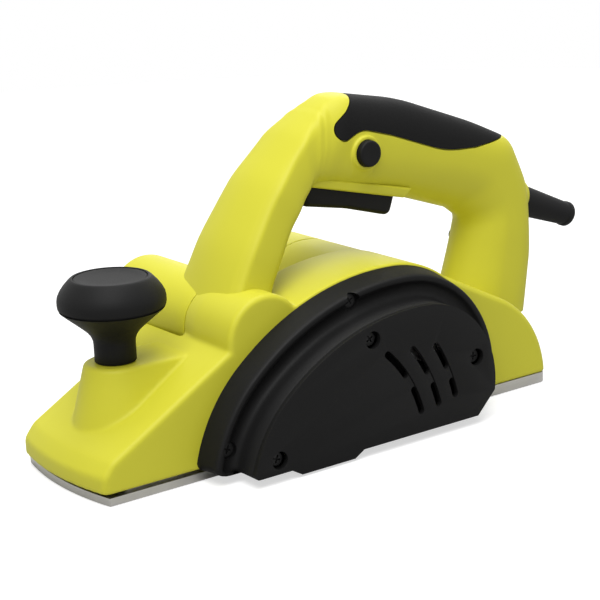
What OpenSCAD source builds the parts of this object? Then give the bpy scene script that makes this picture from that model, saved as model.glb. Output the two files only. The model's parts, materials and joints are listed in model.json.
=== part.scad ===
// Electric hand planer: a belt-driven cutter drum between an adjustable front shoe and a fixed rear sole.
// Lengths are in millimetres. X runs from the front of the planer to its rear, Y to its right, Z up.
// Pieces are laid out from the front corners of the base, and place() then centres the base on the origin.

/* [Base] */
// Length of the base along its sides
base_l = 286; // [280:1:298]
// Width of the sole, which is the width of the cut
cut_w = 82; // [80:1:86]
// How far the front edge bows out in plan
front_bow = 5; // [3:0.5:7]
// Thickness of the front shoe
shoe_t = 4; // [3.5:0.1:4.5]
// Greatest depth of cut, which is the travel of the front shoe
shoe_travel = 1.5; // [1:0.1:2]
// Radius of the rear corners of the sole in plan
heel_r = 5; // [3:1:10]

/* [Cutter] */
// Place of the drum's axis behind the front corners
drum_x = 112; // [110:0.5:114]
// Radius of the circle that the blades cut
tip_r = 24; // [23:0.25:25]
// How far the blades stand out of the drum
blade_reach = 1; // [0.8:0.1:1.2]
// Thickness of a blade
blade_t = 1.5; // [1:0.1:2]
// Thickness of a blade clamp
clamp_t = 5; // [4:0.25:6]
// Radius of the drum shaft in its bearings
drum_shaft_r = 5; // [4.5:0.25:5.5]
// Outer radius of the drum bearings
drum_bearing_r = 13; // [12:0.5:14]
// Width of the drum bearings
drum_bearing_w = 8; // [7:0.5:9]

/* [Belt drive] */
// Radius of the pulley on the drum
drum_pulley_r = 18; // [17:0.25:19]
// Radius of the pulley on the motor
motor_pulley_r = 9.5; // [8:0.25:11]
// Width of the belt
belt_w = 8; // [7:0.5:9]
// Thickness of the belt
belt_t = 2.2; // [1.8:0.1:2.4]

/* [Motor] */
// Place of the motor's axis behind the front corners
motor_x = 178; // [177:0.5:180]
// Height of the motor's axis over the sole
motor_z = 49; // [48:0.5:50]
// Outer radius of the stator
stator_r = 33.6; // [33:0.2:34]
// Length of the laminated stack
stack_l = 42; // [38:1:44]
// Radius of the armature
armature_r = 18; // [17:0.25:18.5]
// Radius of the motor shaft in its bearings
motor_shaft_r = 4; // [3.5:0.25:4.5]
// Outer radius of the motor bearings
motor_bearing_r = 11; // [10:0.5:12]
// Width of the motor bearings
motor_bearing_w = 7; // [6:0.5:8]
// Radius of the cooling fan
fan_r = 30.5; // [28:0.5:31]

/* [Housing] */
// Thickness of the housing's walls
wall = 4; // [3:0.25:4.5]
// Place of the chip duct behind the front corners
duct_x = 94.5; // [93:0.5:96]
// Height of the chip duct's axis
duct_z = 64; // [63:0.5:65]
// Outer radius of the chip duct
duct_r = 22.5; // [22:0.25:23]
// Radius of the chip duct's bore
duct_bore_r = 17.5; // [16.5:0.25:17.5]
// How far the chip outlet reaches to the right
outlet_reach = 75; // [65:1:85]
// How far the motor's end cap reaches to the right
barrel_reach = 72; // [70:1:80]
// Radius of the rear haunch in side view
haunch_r = 58; // [56:0.5:60]
// Height of the nose at its front
nose_low_z = 21.3; // [20:0.5:23]
// Height of the nose where it meets the chip duct
nose_high_z = 61.5; // [60:0.5:63]

/* [Belt guard] */
// Radius of the guard's front arc
guard_front_r = 83.25; // [82.25:0.25:84.25]
// How far the guard stands out from the base
guard_depth = 29; // [28.5:0.25:32]
// How far the guard's outer band stands out from the base
band_depth = 14; // [12:0.5:15]
// Width of the border between the band's edge and the raised cover
border_w = 15.5; // [14.5:0.25:16]
// Thickness of the guard's walls
guard_wall = 2.5; // [2:0.25:3]
// Thickness of the cover
cover_t = 3; // [2.5:0.25:3.5]
// Width of the cover's vent slots
vent_w = 4; // [3:0.25:5]

/* [Depth knob] */
// Place of the knob's axis behind the front corners
knob_x = 31; // [29:0.5:33]
// Radius of the knob
knob_r = 27; // [24:0.5:30]
// Radius of the knob's stem
stem_r = 10.5; // [9.5:0.25:12]
// Height of the knob over its pad
knob_h = 43; // [40:0.5:48]
// Height of the pad that the knob turns on
pad_z = 57; // [56:0.5:59]
// Radius of the threaded spindle
spindle_r = 5; // [4:0.25:5.5]

/* [Handle] */
// Width of the handle
handle_w = 42; // [40:1:46]
// Radius of the handle's long edges
handle_edge = 5; // [3:0.5:6]
// Height of the handle's top
handle_top = 177; // [174:0.5:180]
// Thickness of the handle's shell
shell_t = 6.5; // [5.5:0.25:7]
// Thickness of the soft grip pad
grip_t = 3; // [2:0.25:3.5]
// Width of the trigger
trigger_w = 24; // [20:0.5:26]
// Radius of the lock button
button_r = 7; // [6:0.25:8]
// Travel of the lock button
button_travel = 3; // [2:0.25:3.5]

/* [Cord inlet] */
// Length of the boot behind the handle
boot_l = 43; // [36:1:56]
// Radius of the boot at the handle
boot_r = 9; // [8.4:0.1:9.6]
// Radius of the boot's bore for the cord
cord_r = 3.6; // [3:0.1:4.5]
// How far the boot points down, in degrees
boot_tilt = 21; // [16:0.5:24]

/* [Fasteners and fits] */
// Radius of the plastic-thread screws
screw_r = 1.6; // [1.4:0.1:1.8]
// Radius of the screw heads
head_r = 3.6; // [3.2:0.1:4]
// Height of the screw heads
head_h = 2.2; // [1.8:0.1:2.6]
// Gap between pieces that slide past each other
slide_gap = 0.3; // [0.25:0.05:0.4]
// Radial clearance of shafts in their bores
run_gap = 0.05; // [0.02:0.01:0.09]

/* [Hidden] */
$fn = 64;

lime = [0.78, 0.80, 0.18];
black = [0.09, 0.09, 0.09];
aluminium = [0.72, 0.72, 0.70];
steel = [0.55, 0.56, 0.58];
copper = [0.72, 0.42, 0.22];
brass = [0.78, 0.62, 0.28];

// Base, cutter and motor places that the other pieces share
side_y = cut_w / 2;
sole_t = shoe_t + shoe_travel + slide_gap;
drum_z = tip_r + 0.2;
drum_at = [drum_x, drum_z];
motor_at = [motor_x, motor_z];
duct_at = [duct_x, duct_z];
mouth_gap = 0.8;
function chord(z) = sqrt(tip_r * tip_r - (drum_z - z) * (drum_z - z));
shoe_rear_x = drum_x - chord(shoe_t + shoe_travel) - mouth_gap;
sole_front_x = drum_x + chord(sole_t) + mouth_gap;
drum_r = tip_r - blade_reach;
drum_end_y = side_y - 0.5;
chamber_r = tip_r + 1.5;

// Rear casting: cheeks outside the sole carry the drum bearings
cheek_t = 4;
cheek_y = side_y + slide_gap;
cheek_r = chamber_r + 1.5;
cheek_z = 8.5;
casting_x = drum_x + chamber_r + 0.6;
casting_t = 4;
casting_z = 26;
boss_r = drum_bearing_r + 3.5;
bearing_y = cheek_y + 3;
boss_y = bearing_y + drum_bearing_w + 0.2;
lug_r = 4;
lug_at = [for (a = [30, 210]) drum_at + (boss_r + 2.5) * [cos(a), sin(a)]];
bearing_cap_t = 2.5;
base_screw_r = 2;
base_screw_at = [[casting_x + 12, side_y - 11], [base_l - 22, side_y - 13]];
base_screw_z = sole_t + 10;

// Belt drive, outside the left cheek
pulley_gap = 0.8;
belt_y = boss_y + pulley_gap + 0.7;
pulley_y0 = belt_y - 0.5;
pulley_y1 = belt_y + belt_w + 0.5;
belt_gap = 0.3;
nut_h = 3;
guard_y = side_y + guard_depth;
cover_y = guard_y - cover_t;
band_y = side_y + band_depth;

// Motor along Y
motor_cavity_r = stator_r + 0.2;
barrel_r = motor_cavity_r + wall + 0.5;
cap_wall = 3.5;
right_bearing_y = barrel_reach - cap_wall - motor_bearing_w;
commutator_l = 15;
commutator_r = 12;
commutator_y1 = right_bearing_y - 4.2;
commutator_y0 = commutator_y1 - commutator_l;
brush_y = (commutator_y0 + commutator_y1) / 2;
winding_l = 9;
stack_y1 = commutator_y0 - winding_l - 3;
stack_y0 = stack_y1 - stack_l;
coil_end = 6;
fan_y0 = -side_y + 5;
fan_y1 = stack_y0 - winding_l - 2.3;
cap_cavity_r = barrel_r - cap_wall;
ear_r = head_r + 0.9;
ear_at = [for (a = [25, 155, 205, 335]) motor_at + (barrel_r - 2.25) * [cos(a), sin(a)]];
ear_l = 12;
ear_screw_l = barrel_reach - side_y + ear_l - 1.5;
left_bearing_y = side_y + guard_wall;
bearing_seat = 3.5;
motor_boss_y = left_bearing_y + motor_bearing_w;
brush_half = [3, 4.5];
brush_wall = 1.2;
brush_end_r = barrel_r - 14.5;
brush_cap_r = 7;
brush_boss_r = brush_cap_r + 1.4;

// Housing
duct_seam_y = 9;
outlet_r = duct_r + 0.7;
block_y = 4;
nose_over = 2.6;
nose_tip_x = -nose_over - front_bow;
nose_low_x = -2;
crease_x = duct_x - duct_r;
nose_rear_x = casting_x + casting_t + 8;
function slope_z(x) = nose_low_z + (x - nose_low_x) * (nose_high_z - nose_low_z) / (crease_x - nose_low_x);
function slope_x(z) = nose_low_x + (z - nose_low_z) * (crease_x - nose_low_x) / (nose_high_z - nose_low_z);
nose_cavity_y = side_y - wall - 1.7;
nose_cavity_x0 = 2;
nose_cavity_x1 = crease_x - 8;
boss_top_r = 16;
boss_draft = 0.26;
haunch_slope = 26.3;
slope_at = motor_at + barrel_r * [sin(haunch_slope), cos(haunch_slope)];
haunch_z = slope_at[1] - (base_l - slope_at[0]) * tan(haunch_slope);
haunch_at = [base_l - haunch_r, haunch_z - haunch_r / tan(45 + haunch_slope / 2)];
rib_t = 4;
rib_z = 16;
shoe_boss_r = 9;
shoe_boss_z = 29;
clip_z = shoe_boss_z + shoe_travel + 2.5;
clip_t = 2;
spring_at = [knob_x, 22];
spring_r = 5;
spring_seat_r = 7;
spring_top_z = 26;
fence_at = [knob_x + 19, 28];
fence_l = 12;
fence_r = 5;
fence_bore_r = 2.5;

// Belt guard outline: three arcs, each tangent to the next
guard_front = [drum_x + 18, -10];
guard_top = [motor_x - 10.5, -52.7];
guard_rear = [motor_x - 6.1, 23.3];
guard_top_r = guard_front_r + norm(guard_front - guard_top);
guard_rear_r = guard_top_r - norm(guard_rear - guard_top);
guard_z = 4.5;
floor_z = guard_z + guard_wall;
back_y = side_y + guard_wall;
guard_heel = 7;
panel_heel = 12;
guard_belly_z = drum_z - drum_pulley_r - belt_gap - belt_t - 2.7;
guard_belly_x = [drum_x - 26, drum_x + 19];
guard_belly_run = 6;
block_margin = 1;
frame_screw_at = [[drum_x - 51.4, 16.8], [motor_x - 39.6, 77.2]];
cover_screw_at = [[drum_x - 33.1, 11.6], [motor_x - 39.5, 60.4], [motor_x + 29.2, 37.1]];
vent_at = [drum_x - 15, -4];
vent_r = [74.6, 86.3, 98];
vent_upper = [[32.8, 48.6], [27.2, 39.9], [23.8, 33.6]];
vent_lower = [[14.5, 27.2], [13.6, 22.9], [13.4, 19.9]];

// Handle outline and its finger loop in side view: [x, z, corner radius]
// Offsets are drawn for a handle of this length and height, and stretch with it
handle_l = 212;
handle_h = 113;
rear_x = base_l + 12;
foot_x = duct_x - 8.5;
stretch = (rear_x - foot_x) / handle_l;
rise = (handle_top - duct_z) / handle_h;
function from_foot(x, z, r) = [foot_x + stretch * x, handle_top - rise * z, r * stretch];
function from_rear(x, z, r) = [rear_x - stretch * x, handle_top - rise * z, r * stretch];
function foot_point(x, z) = [foot_x + stretch * x, handle_top - rise * z];
function rear_point(x, z) = [rear_x - stretch * x, handle_top - rise * z];
handle_corners = [
  from_foot(-4.3, 107, 1), from_rear(4, 137, 1), from_rear(-1, 107, 60), from_rear(0, 69, 40),
  from_rear(11.5, 40, 14), from_rear(36, 28.6, 150), from_rear(86, 10.2, 120), from_foot(74, 0, 28),
  from_foot(31.5, 43.5, 60), from_foot(12, 76, 150)
];
loop_corners = [
  from_foot(22, 137, 1), from_rear(57.5, 137, 1), from_rear(38.5, 85, 8), from_rear(51, 76, 10),
  from_rear(95, 61, 40), from_foot(58, 46.5, 5), from_foot(41, 67.5, 60), from_foot(27, 95, 60)
];
grip_corners = [
  from_foot(77.5, 26.2, 5), from_foot(89, 20.5, 14), from_foot(110, 26.5, 40), from_rear(66, 39.5, 60),
  from_rear(44, 40.5, 30), from_rear(6, 37.5, 1), from_rear(6, -20, 1), from_foot(100, -20, 1),
  from_foot(90.5, 3, 6), from_foot(81, 11.5, 10), from_foot(73, 17, 5), from_foot(72, 21.5, 4)
];
handle_half = handle_w / 2;
arm_half = handle_half + 7.4;
arm_top_half = handle_half - 3;
arm_crown = 8;
crown_steps = 4;
arm_corners = [
  from_foot(-16.5, 113, 1), from_foot(34, 113, 1), from_foot(74, 27, 1), from_foot(62.5, 9.5, 1),
  from_foot(27.4, 40.3, 60), from_foot(6.4, 72.8, 150)
];
seam_y = 14;
edge_steps = 3;
corner_steps = 6;
cavity_y = handle_half - 4.5;
arm_floor_z = duct_z + duct_r + 6;
post_floor_z = haunch_at[1] + haunch_r + 7.5;
handle_screw_at = [foot_point(20.5, 72.5), foot_point(65, 22), rear_point(73, 46), rear_point(32, 97)];

// Trigger, lock and switch
pin_r = 2;
pin_at = foot_point(62, 43);
pin_eye_r = 5;
function from_pin(x, z, r) = [pin_at[0] + stretch * x, pin_at[1] + rise * z, r * stretch];
trigger_corners = [
  from_pin(-6, -14, 3), from_pin(22, -19.8, 60), from_pin(51.5, -27.2, 3), from_pin(54.5, -16, 2),
  from_pin(54.5, -11, 2), from_pin(0, 3, 2), from_pin(-4, 0, 1)
];
trigger_slot_x = [pin_at[0] - 7 * stretch, pin_at[0] + 56.5 * stretch];
button_at = foot_point(91, 33.4);
button_proud = 3;
button_rim = 0.4;
switch_at = foot_point(75, 40);
switch_size = [36 * stretch, 20 * rise];
switch_y = [-9, seam_y - 0.2];
trigger_spring_x = switch_at[0] + 26 * stretch;
trigger_spring_z = pin_at[1] - 5.8 * rise;

// Cord inlet
boot_at = rear_point(6, 76);
boot_boss_l = 11;
boot_boss_r = boot_r + 2.6;
boot_root_r = boot_r - 0.4;
boot_tip_r = boot_r - 2.2;
boot_root_s = 2;
clamp_at = rear_point(22, 70);
clamp_screw_at = [clamp_at - [0, 9], clamp_at + [0, 9]];
clamp_y = 4;
capacitor_x = [rear_x - 26.5 * stretch, rear_x - 11.5 * stretch];
clamp_head_y = seam_y - head_h - 0.4;

// Unit vector along v
function unit(v) = v / norm(v);

// Points along an arc
function arc(c, r, a0, a1, n) = [for (i = [0:n]) let (a = a0 + (a1 - a0) * i / n) c + r * [cos(a), sin(a)]];

// Direction from one point to another, in degrees
function heading(a, b) = atan2(b[1] - a[1], b[0] - a[0]);

// Turns an angle into the range from -180 to 180 degrees
function short_way(a) = a - 360 * round(a / 360);

// Arc that rounds the corner b between the points a and c
function corner_arc(a, b, c, r) =
  let (
    u = unit(a - b),
    v = unit(c - b),
    half = acos(u * v) / 2,
    centre = b + unit(u + v) * r / sin(half),
    from = heading(centre, b + u * r / tan(half)),
    turn = short_way(heading(centre, b + v * r / tan(half)) - from)
  )
  arc(centre, r, from, from + turn, corner_steps);

// Outline with rounded corners from a list of [x, z, radius]
function rounded(corners) =
  let (n = len(corners), at = [for (c = corners) [c[0], c[1]]])
  [for (i = [0:n - 1]) each corner_arc(at[(i + n - 1) % n], at[i], at[(i + 1) % n], corners[i][2])];

// Corner list moved inwards by d, or outwards where d is negative
function inset(corners, d) =
  let (n = len(corners), at = [for (c = corners) [c[0], c[1]]])
  [
    for (i = [0:n - 1])
      let (
        e = unit(at[i] - at[(i + n - 1) % n]),
        f = unit(at[(i + 1) % n] - at[i]),
        p = [-e[1], e[0]],
        q = [-f[1], f[0]],
        bend = e[0] * f[1] - e[1] * f[0],
        b = at[i] + d * (p + q) / (1 + p * q)
      )
      [b[0], b[1], max(0.5, corners[i][2] - d * sign(bend))]
  ];

// Outline of the belt guard, moved inwards by d, with its flat bottom at z
function guard_outline(d, z, heel) =
  let (
    a = heading(guard_top, guard_rear),
    b = heading(guard_top, guard_front),
    rear_r = guard_rear_r - d,
    front_r = guard_front_r - d,
    low = asin((z + heel - guard_rear[1]) / rear_r),
    toe = 180 - asin((z - guard_front[1]) / front_r)
  )
  concat(
    arc(guard_rear, rear_r, low, a, 14),
    arc(guard_top, guard_top_r - d, a + (b - a) / 10, b - (b - a) / 10, 8),
    arc(guard_front, front_r, b, toe, 12),
    heel > 0 ? [[guard_rear[0] + rear_r * cos(low) - heel, z]] : []
  );

// Outline of the belly under the drum pulley, raised by d inside the wall
function belly(d) = [
  [guard_belly_x[0] + d, guard_z + d + 1], [guard_belly_x[0] + d, guard_z],
  [guard_belly_x[0] + guard_belly_run + d, guard_belly_z + d],
  [guard_belly_x[1] - guard_belly_run - d, guard_belly_z + d],
  [guard_belly_x[1] - d, guard_z], [guard_belly_x[1] - d, guard_z + d + 1]
];

// Loop around both pulleys, outside them by d
function belt_loop(d) =
  let (
    way = heading(drum_at, motor_at),
    wrap = acos((drum_pulley_r - motor_pulley_r) / norm(motor_at - drum_at))
  )
  concat(
    arc(motor_at, motor_pulley_r + d, way - wrap, way + wrap, 20),
    arc(drum_at, drum_pulley_r + d, way + wrap, way + 360 - wrap, 32)
  );

// Slot along an arc about vent_at
function vent(r, from, to) = concat(
  arc(vent_at, r + vent_w / 2, from, to, 6),
  arc(vent_at, r - vent_w / 2, to, from, 6)
);

// Centres the base on the origin
module place() translate([-base_l / 2, 0, 0]) children();

// Cylinder along Y from y0 to y1, about the point at in side view
module across(r, y0, y1, at) translate([at[0], y1, at[1]]) rotate([90, 0, 0]) cylinder(r = r, h = y1 - y0);

// Ring along Y
module ring(r, bore, y0, y1, at) difference() {
  across(r, y0, y1, at);
  across(bore, y0 - 1, y1 + 1, at);
}

// Side-view outline drawn out from y0 to y1
module slab(points, y0, y1) translate([0, y1, 0]) rotate([90, 0, 0])
  linear_extrude(y1 - y0) polygon(points);

// Box from one corner to the other
module block(a, b) translate(a) cube(b - a);

// Solid through the outline moved inwards by an inset at each [y, inset] of the rings
module layered(corners, rings) {
  layers = [for (k = rings) [for (p = rounded(inset(corners, k[1]))) [p[0], k[0], p[1]]]];
  n = len(layers[0]);
  m = len(layers);
  polyhedron(
    [for (l = layers) each l],
    concat(
      [[for (i = [n - 1:-1:0]) i]],
      [
        for (j = [0:m - 2], i = [0:n - 1])
          let (k = (i + 1) % n)
          [j * n + i, j * n + k, (j + 1) * n + k, (j + 1) * n + i]
      ],
      [[for (i = [0:n - 1]) (m - 1) * n + i]]
    )
  );
}

// Outline drawn out to the half width, with its long edges rounded; side is 1 for a solid and -1 for a hole
module pillow(corners, half, edge, side) {
  steps = [for (i = [0:edge_steps]) 90 * i / edge_steps];
  layered(corners, concat(
    [for (a = steps) [-half + edge * (1 - cos(a)), side * edge * (1 - sin(a))]],
    [for (i = [edge_steps:-1:0]) [half - edge * (1 - cos(steps[i])), side * edge * (1 - sin(steps[i]))]]
  ));
}

// Coil spring along Z from 0 to h
module coil(r, wire, h, turns) {
  sides = 6;
  n = turns * 12;
  rise = h - 2 * wire;
  function hub(i) = let (a = 30 * i) [r * cos(a), r * sin(a), wire + rise * i / n];
  points = [
    for (i = [0:n], k = [0:sides - 1])
      let (a = 30 * i, b = 360 * k / sides, out = r + wire * cos(b))
      [out * cos(a), out * sin(a), hub(i)[2] + wire * sin(b)]
  ];
  polyhedron(points, concat(
    [[for (k = [0:sides - 1]) k]],
    [
      for (i = [0:n - 1], k = [0:sides - 1])
        [i * sides + k, (i + 1) * sides + k, (i + 1) * sides + (k + 1) % sides, i * sides + (k + 1) % sides]
    ],
    [[for (k = [sides - 1:-1:0]) n * sides + k]]
  ));
}

// Cross-head screw along Y: its head's face is at y, and its point lies towards way
module screw(at, y, way, l) translate([at[0], y, at[1]]) rotate([-90 * way, 0, 0]) difference() {
  union() {
    cylinder(r = head_r, h = head_h);
    cylinder(r = screw_r, h = l);
  }
  for (a = [0, 90]) rotate(a) translate([-head_r * 0.6, -0.5, -1]) cube([head_r * 1.2, 1, 2]);
}

// Balls of a pair of bearings about one axis
module balls(at, bore, r, places, w) for (y = places, a = [0:45:315]) {
  spot = at + (bore + r) / 2 * [cos(a), sin(a)];
  translate([spot[0], y + w / 2, spot[1]]) sphere(r = (r - bore) * 0.22 - 0.1);
}

// Point at distance s along the cord boot's axis
module along_boot(s) translate([boot_at[0], 0, boot_at[1]]) rotate([0, 90 + boot_tilt, 0])
  translate([0, 0, s]) children();

// Plan of the rear sole and haunch
module heel_plan(x0) polygon(rounded([
  [x0, -side_y, 0.5], [base_l, -side_y, heel_r], [base_l, side_y, heel_r], [x0, side_y, 0.5]
]));

// Plan whose front edge bows out from x0 by front_bow
module bowed_plan(x0, x1, half) {
  r = (side_y * side_y + front_bow * front_bow) / (2 * front_bow);
  intersection() {
    translate([x0 - front_bow + r, 0]) circle(r, $fn = 256);
    translate([x0 - front_bow, -half]) square([x1 - x0 + front_bow, 2 * half]);
  }
}

// Cutter chamber, mouth and motor pocket with the chip passages, cut out of the housing
module housing_cavities() {
  across(chamber_r, -side_y - 1, side_y + 1, drum_at);
  block([shoe_rear_x, -side_y - 1, 0], [casting_x, side_y + 1, drum_z - 6]);
  block([casting_x, -side_y - 1, 0], [casting_x + casting_t, side_y + 1, casting_z]);
  across(motor_cavity_r, -side_y - 1, side_y + 1, motor_at);
  across(duct_bore_r + 0.5, -side_y + wall, side_y, duct_at);
  across(outlet_r, duct_seam_y, side_y + 1, duct_at);
  block([duct_x - 8, -side_y + wall + 1, drum_z + 14], [duct_x + 12, duct_seam_y - 1, duct_z]);
  difference() {
    intersection() {
      across(haunch_r - wall, -side_y + wall, side_y - wall, haunch_at);
      block([motor_x + motor_cavity_r + wall, -side_y, 0], [base_l, side_y, haunch_r]);
    }
    for (s = [-1, 1]) translate([base_screw_at[1][0], s * base_screw_at[1][1], 0])
      cylinder(r = base_screw_r + 4, h = base_screw_z + 3);
  }
  for (p = base_screw_at, s = [-1, 1]) translate([p[0], s * p[1], 0])
    cylinder(r = base_screw_r, h = base_screw_z);
  nose_cavity();
  translate([knob_x, 0, 0]) cylinder(r = spindle_r + run_gap, h = pad_z + 1);
  translate([knob_x, 0, 0]) cylinder(r = shoe_boss_r + 0.6, h = clip_z + clip_t + slide_gap);
  across(fence_r, side_y - fence_l, side_y + 1, fence_at);
  for (p = frame_screw_at) across(screw_r, -side_y - 1, -side_y + wall + 1, p);
  for (p = ear_at) across(screw_r, side_y - ear_l, side_y + 1, p);
  for (s = [-1, 1]) brush_boss(s, brush_boss_r + slide_gap, barrel_r - 15, barrel_r + 5);
}

// Space in the nose for the shoe's ribs, boss and springs
module nose_cavity() difference() {
  slab([
    [nose_cavity_x0, 0], [nose_cavity_x1, 0],
    [nose_cavity_x1, slope_z(nose_cavity_x1) - wall - 1],
    [nose_cavity_x0, slope_z(nose_cavity_x0) - wall - 1]
  ], -nose_cavity_y, nose_cavity_y);
  for (s = [-1, 1]) translate([spring_at[0], s * spring_at[1], spring_top_z])
    cylinder(r = spring_seat_r, h = pad_z);
  across(fence_r + 3, side_y - fence_l - 1, side_y, fence_at);
}

// Outer form of the housing without its handle
module body_form() {
  intersection() {
    slab(rounded([
      [nose_tip_x, sole_t, 0.5], [nose_rear_x, sole_t, 0.5], [nose_rear_x, nose_high_z, 0.5],
      [crease_x, nose_high_z, 3], [nose_low_x, nose_low_z, 10], [nose_tip_x, nose_low_z - 7, 6]
    ]), -side_y, side_y);
    linear_extrude(pad_z + duct_z) bowed_plan(-nose_over, base_l, side_y);
  }
  translate([knob_x, 0, sole_t])
    cylinder(h = pad_z - sole_t, r1 = boss_top_r + (pad_z - sole_t) * boss_draft, r2 = boss_top_r);
  foot = boss_top_r + (pad_z - sole_t) * boss_draft;
  translate([knob_x, 0, 0]) rotate([90, 0, 90]) linear_extrude(slope_x(pad_z) + 1.5 - knob_x)
    polygon([[-foot, sole_t], [foot, sole_t], [boss_top_r, pad_z], [-boss_top_r, pad_z]]);
  across(duct_r, -side_y, duct_seam_y, duct_at);
  slab(guard_outline(-block_margin, sole_t, 0), -side_y, block_y);
  across(barrel_r, block_y, side_y, motor_at);
  for (p = ear_at) across(ear_r, side_y - ear_l, side_y, p);
  block([casting_x, -side_y, sole_t], [motor_x + barrel_r, side_y, motor_z]);
  intersection() {
    slab(rounded([
      [motor_x, -haunch_r, 0.5], [base_l, -haunch_r, 0.5], [base_l, haunch_z, haunch_r],
      [slope_at[0], slope_at[1], 0.5]
    ]), -side_y, side_y);
    translate([0, 0, sole_t]) linear_extrude(slope_at[1]) heel_plan(motor_x);
  }
}

// Front arm of the handle, crowned in front and wider towards its foot
module arm_form() difference() {
  intersection() {
    layered(arm_corners, [
      for (i = [-crown_steps:crown_steps]) [arm_half * i / crown_steps, arm_crown * pow(i / crown_steps, 2)]
    ]);
    translate([foot_x - arm_half, 0, 0]) rotate([90, 0, 90]) linear_extrude(pin_at[0] - foot_x + arm_half)
      polygon([
        [-arm_half, duct_z], [arm_half, duct_z], [arm_top_half, handle_top], [-arm_top_half, handle_top]
      ]);
  }
  slab(rounded(loop_corners), -arm_half - 1, arm_half + 1);
}

// Handle without its cavities, standing on the housing
module handle_form() difference() {
  union() {
    pillow(handle_corners, handle_half, handle_edge, 1);
    arm_form();
  }
  pillow(loop_corners, handle_half + 1, handle_edge + 1, -1);
  body_form();
  across(outlet_r, duct_seam_y, side_y, duct_at);
}

// Soft pad over the top of the grip
module pad_form() intersection() {
  slab(rounded(grip_corners), -handle_w, handle_w);
  difference() {
    pillow(handle_corners, handle_half, handle_edge, 1);
    pillow(inset(handle_corners, grip_t), handle_half - grip_t, handle_edge - 1, 1);
  }
}

// Hollow of the handle for the switch and the cord clamp
module handle_cavity() difference() {
  slab(rounded(inset(handle_corners, shell_t)), -cavity_y, seam_y + 1);
  slab(rounded(inset(loop_corners, -shell_t)), -cavity_y - 1, seam_y + 2);
  block([foot_x - 20, -handle_w, 0], [motor_x, handle_w, arm_floor_z]);
  block([motor_x - 1, -handle_w, 0], [rear_x + 20, handle_w, post_floor_z]);
  for (p = handle_screw_at) across(screw_r + 2.4, -cavity_y - 1, seam_y + 2, p);
  for (p = clamp_screw_at) across(screw_r + 2.4, -cavity_y - 1, clamp_y, p);
}

// Screws of one pattern along Y
module screws(places, y, way, l) for (p = places) screw(p, y, way, l);

// Rear sole with the cast wall, cheeks and bearing seats of the drum
module rear_base() color(aluminium) place() difference() {
  union() {
    linear_extrude(sole_t) heel_plan(sole_front_x);
    block([casting_x, -side_y, sole_t - 1], [casting_x + casting_t, side_y, casting_z]);
    for (s = [-1, 1]) {
      y = [s * cheek_y, s * (cheek_y + cheek_t)];
      intersection() {
        across(cheek_r, min(y), max(y), drum_at);
        block([0, -guard_y, cheek_z], [base_l, guard_y, pad_z]);
      }
      block([drum_x, min(y), cheek_z], [casting_x + casting_t, max(y), casting_z]);
      z = [s * (side_y - 1), y[1]];
      block([casting_x, min(z), cheek_z], [casting_x + casting_t, max(z), casting_z]);
      across(boss_r, min(y[0], s * boss_y), max(y[0], s * boss_y), drum_at);
    }
    for (p = lug_at) across(lug_r, cheek_y, boss_y, p);
  }
  across(outlet_r + slide_gap, cheek_y - 1, guard_y, duct_at);
  across(drum_shaft_r + 3, -guard_y, guard_y, drum_at);
  across(drum_bearing_r, -boss_y - 1, -bearing_y, drum_at);
  across(drum_bearing_r, bearing_y, boss_y + 1, drum_at);
  for (p = lug_at) across(screw_r, cheek_y - 1, boss_y + 1, p);
  for (p = base_screw_at, s = [-1, 1]) translate([p[0], s * p[1], -1]) {
    cylinder(r = base_screw_r, h = sole_t + 2);
    cylinder(r = head_r + 0.2, h = head_h + 1.6);
  }
}

// Front shoe: plate with guide ribs, spring pegs and the threaded boss
module front_shoe() color(aluminium) place() difference() {
  union() {
    linear_extrude(shoe_t) bowed_plan(0, shoe_rear_x, side_y - slide_gap);
    translate([knob_x, 0, 0]) cylinder(r = shoe_boss_r, h = shoe_boss_z);
    for (s = [-1, 1]) {
      y = nose_cavity_y - slide_gap;
      block([12, min(s * y, s * (y - rib_t)), 0], [nose_cavity_x1 - 4, max(s * y, s * (y - rib_t)), rib_z]);
      translate([spring_at[0], s * spring_at[1], 0]) cylinder(r = spring_r - 1.6, h = shoe_t + 5);
    }
  }
  translate([knob_x, 0, -1]) cylinder(r = spindle_r + run_gap, h = shoe_boss_z + 2);
}

module shoe_springs() color(steel) place() for (s = [-1, 1])
  translate([spring_at[0], s * spring_at[1], shoe_t])
    coil(spring_r, 0.8, spring_top_z - shoe_t, 5);

// Housing of the nose, duct, motor and haunch
module main_housing() color(lime) place() difference() {
  body_form();
  housing_cavities();
}

// Tube of the chip outlet, relieved where the blades pass under it
module chip_outlet() color(lime) place() difference() {
  ring(outlet_r, duct_bore_r, duct_seam_y, outlet_reach, duct_at);
  across(tip_r + mouth_gap, duct_seam_y - 1, side_y + slide_gap, drum_at);
}

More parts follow.
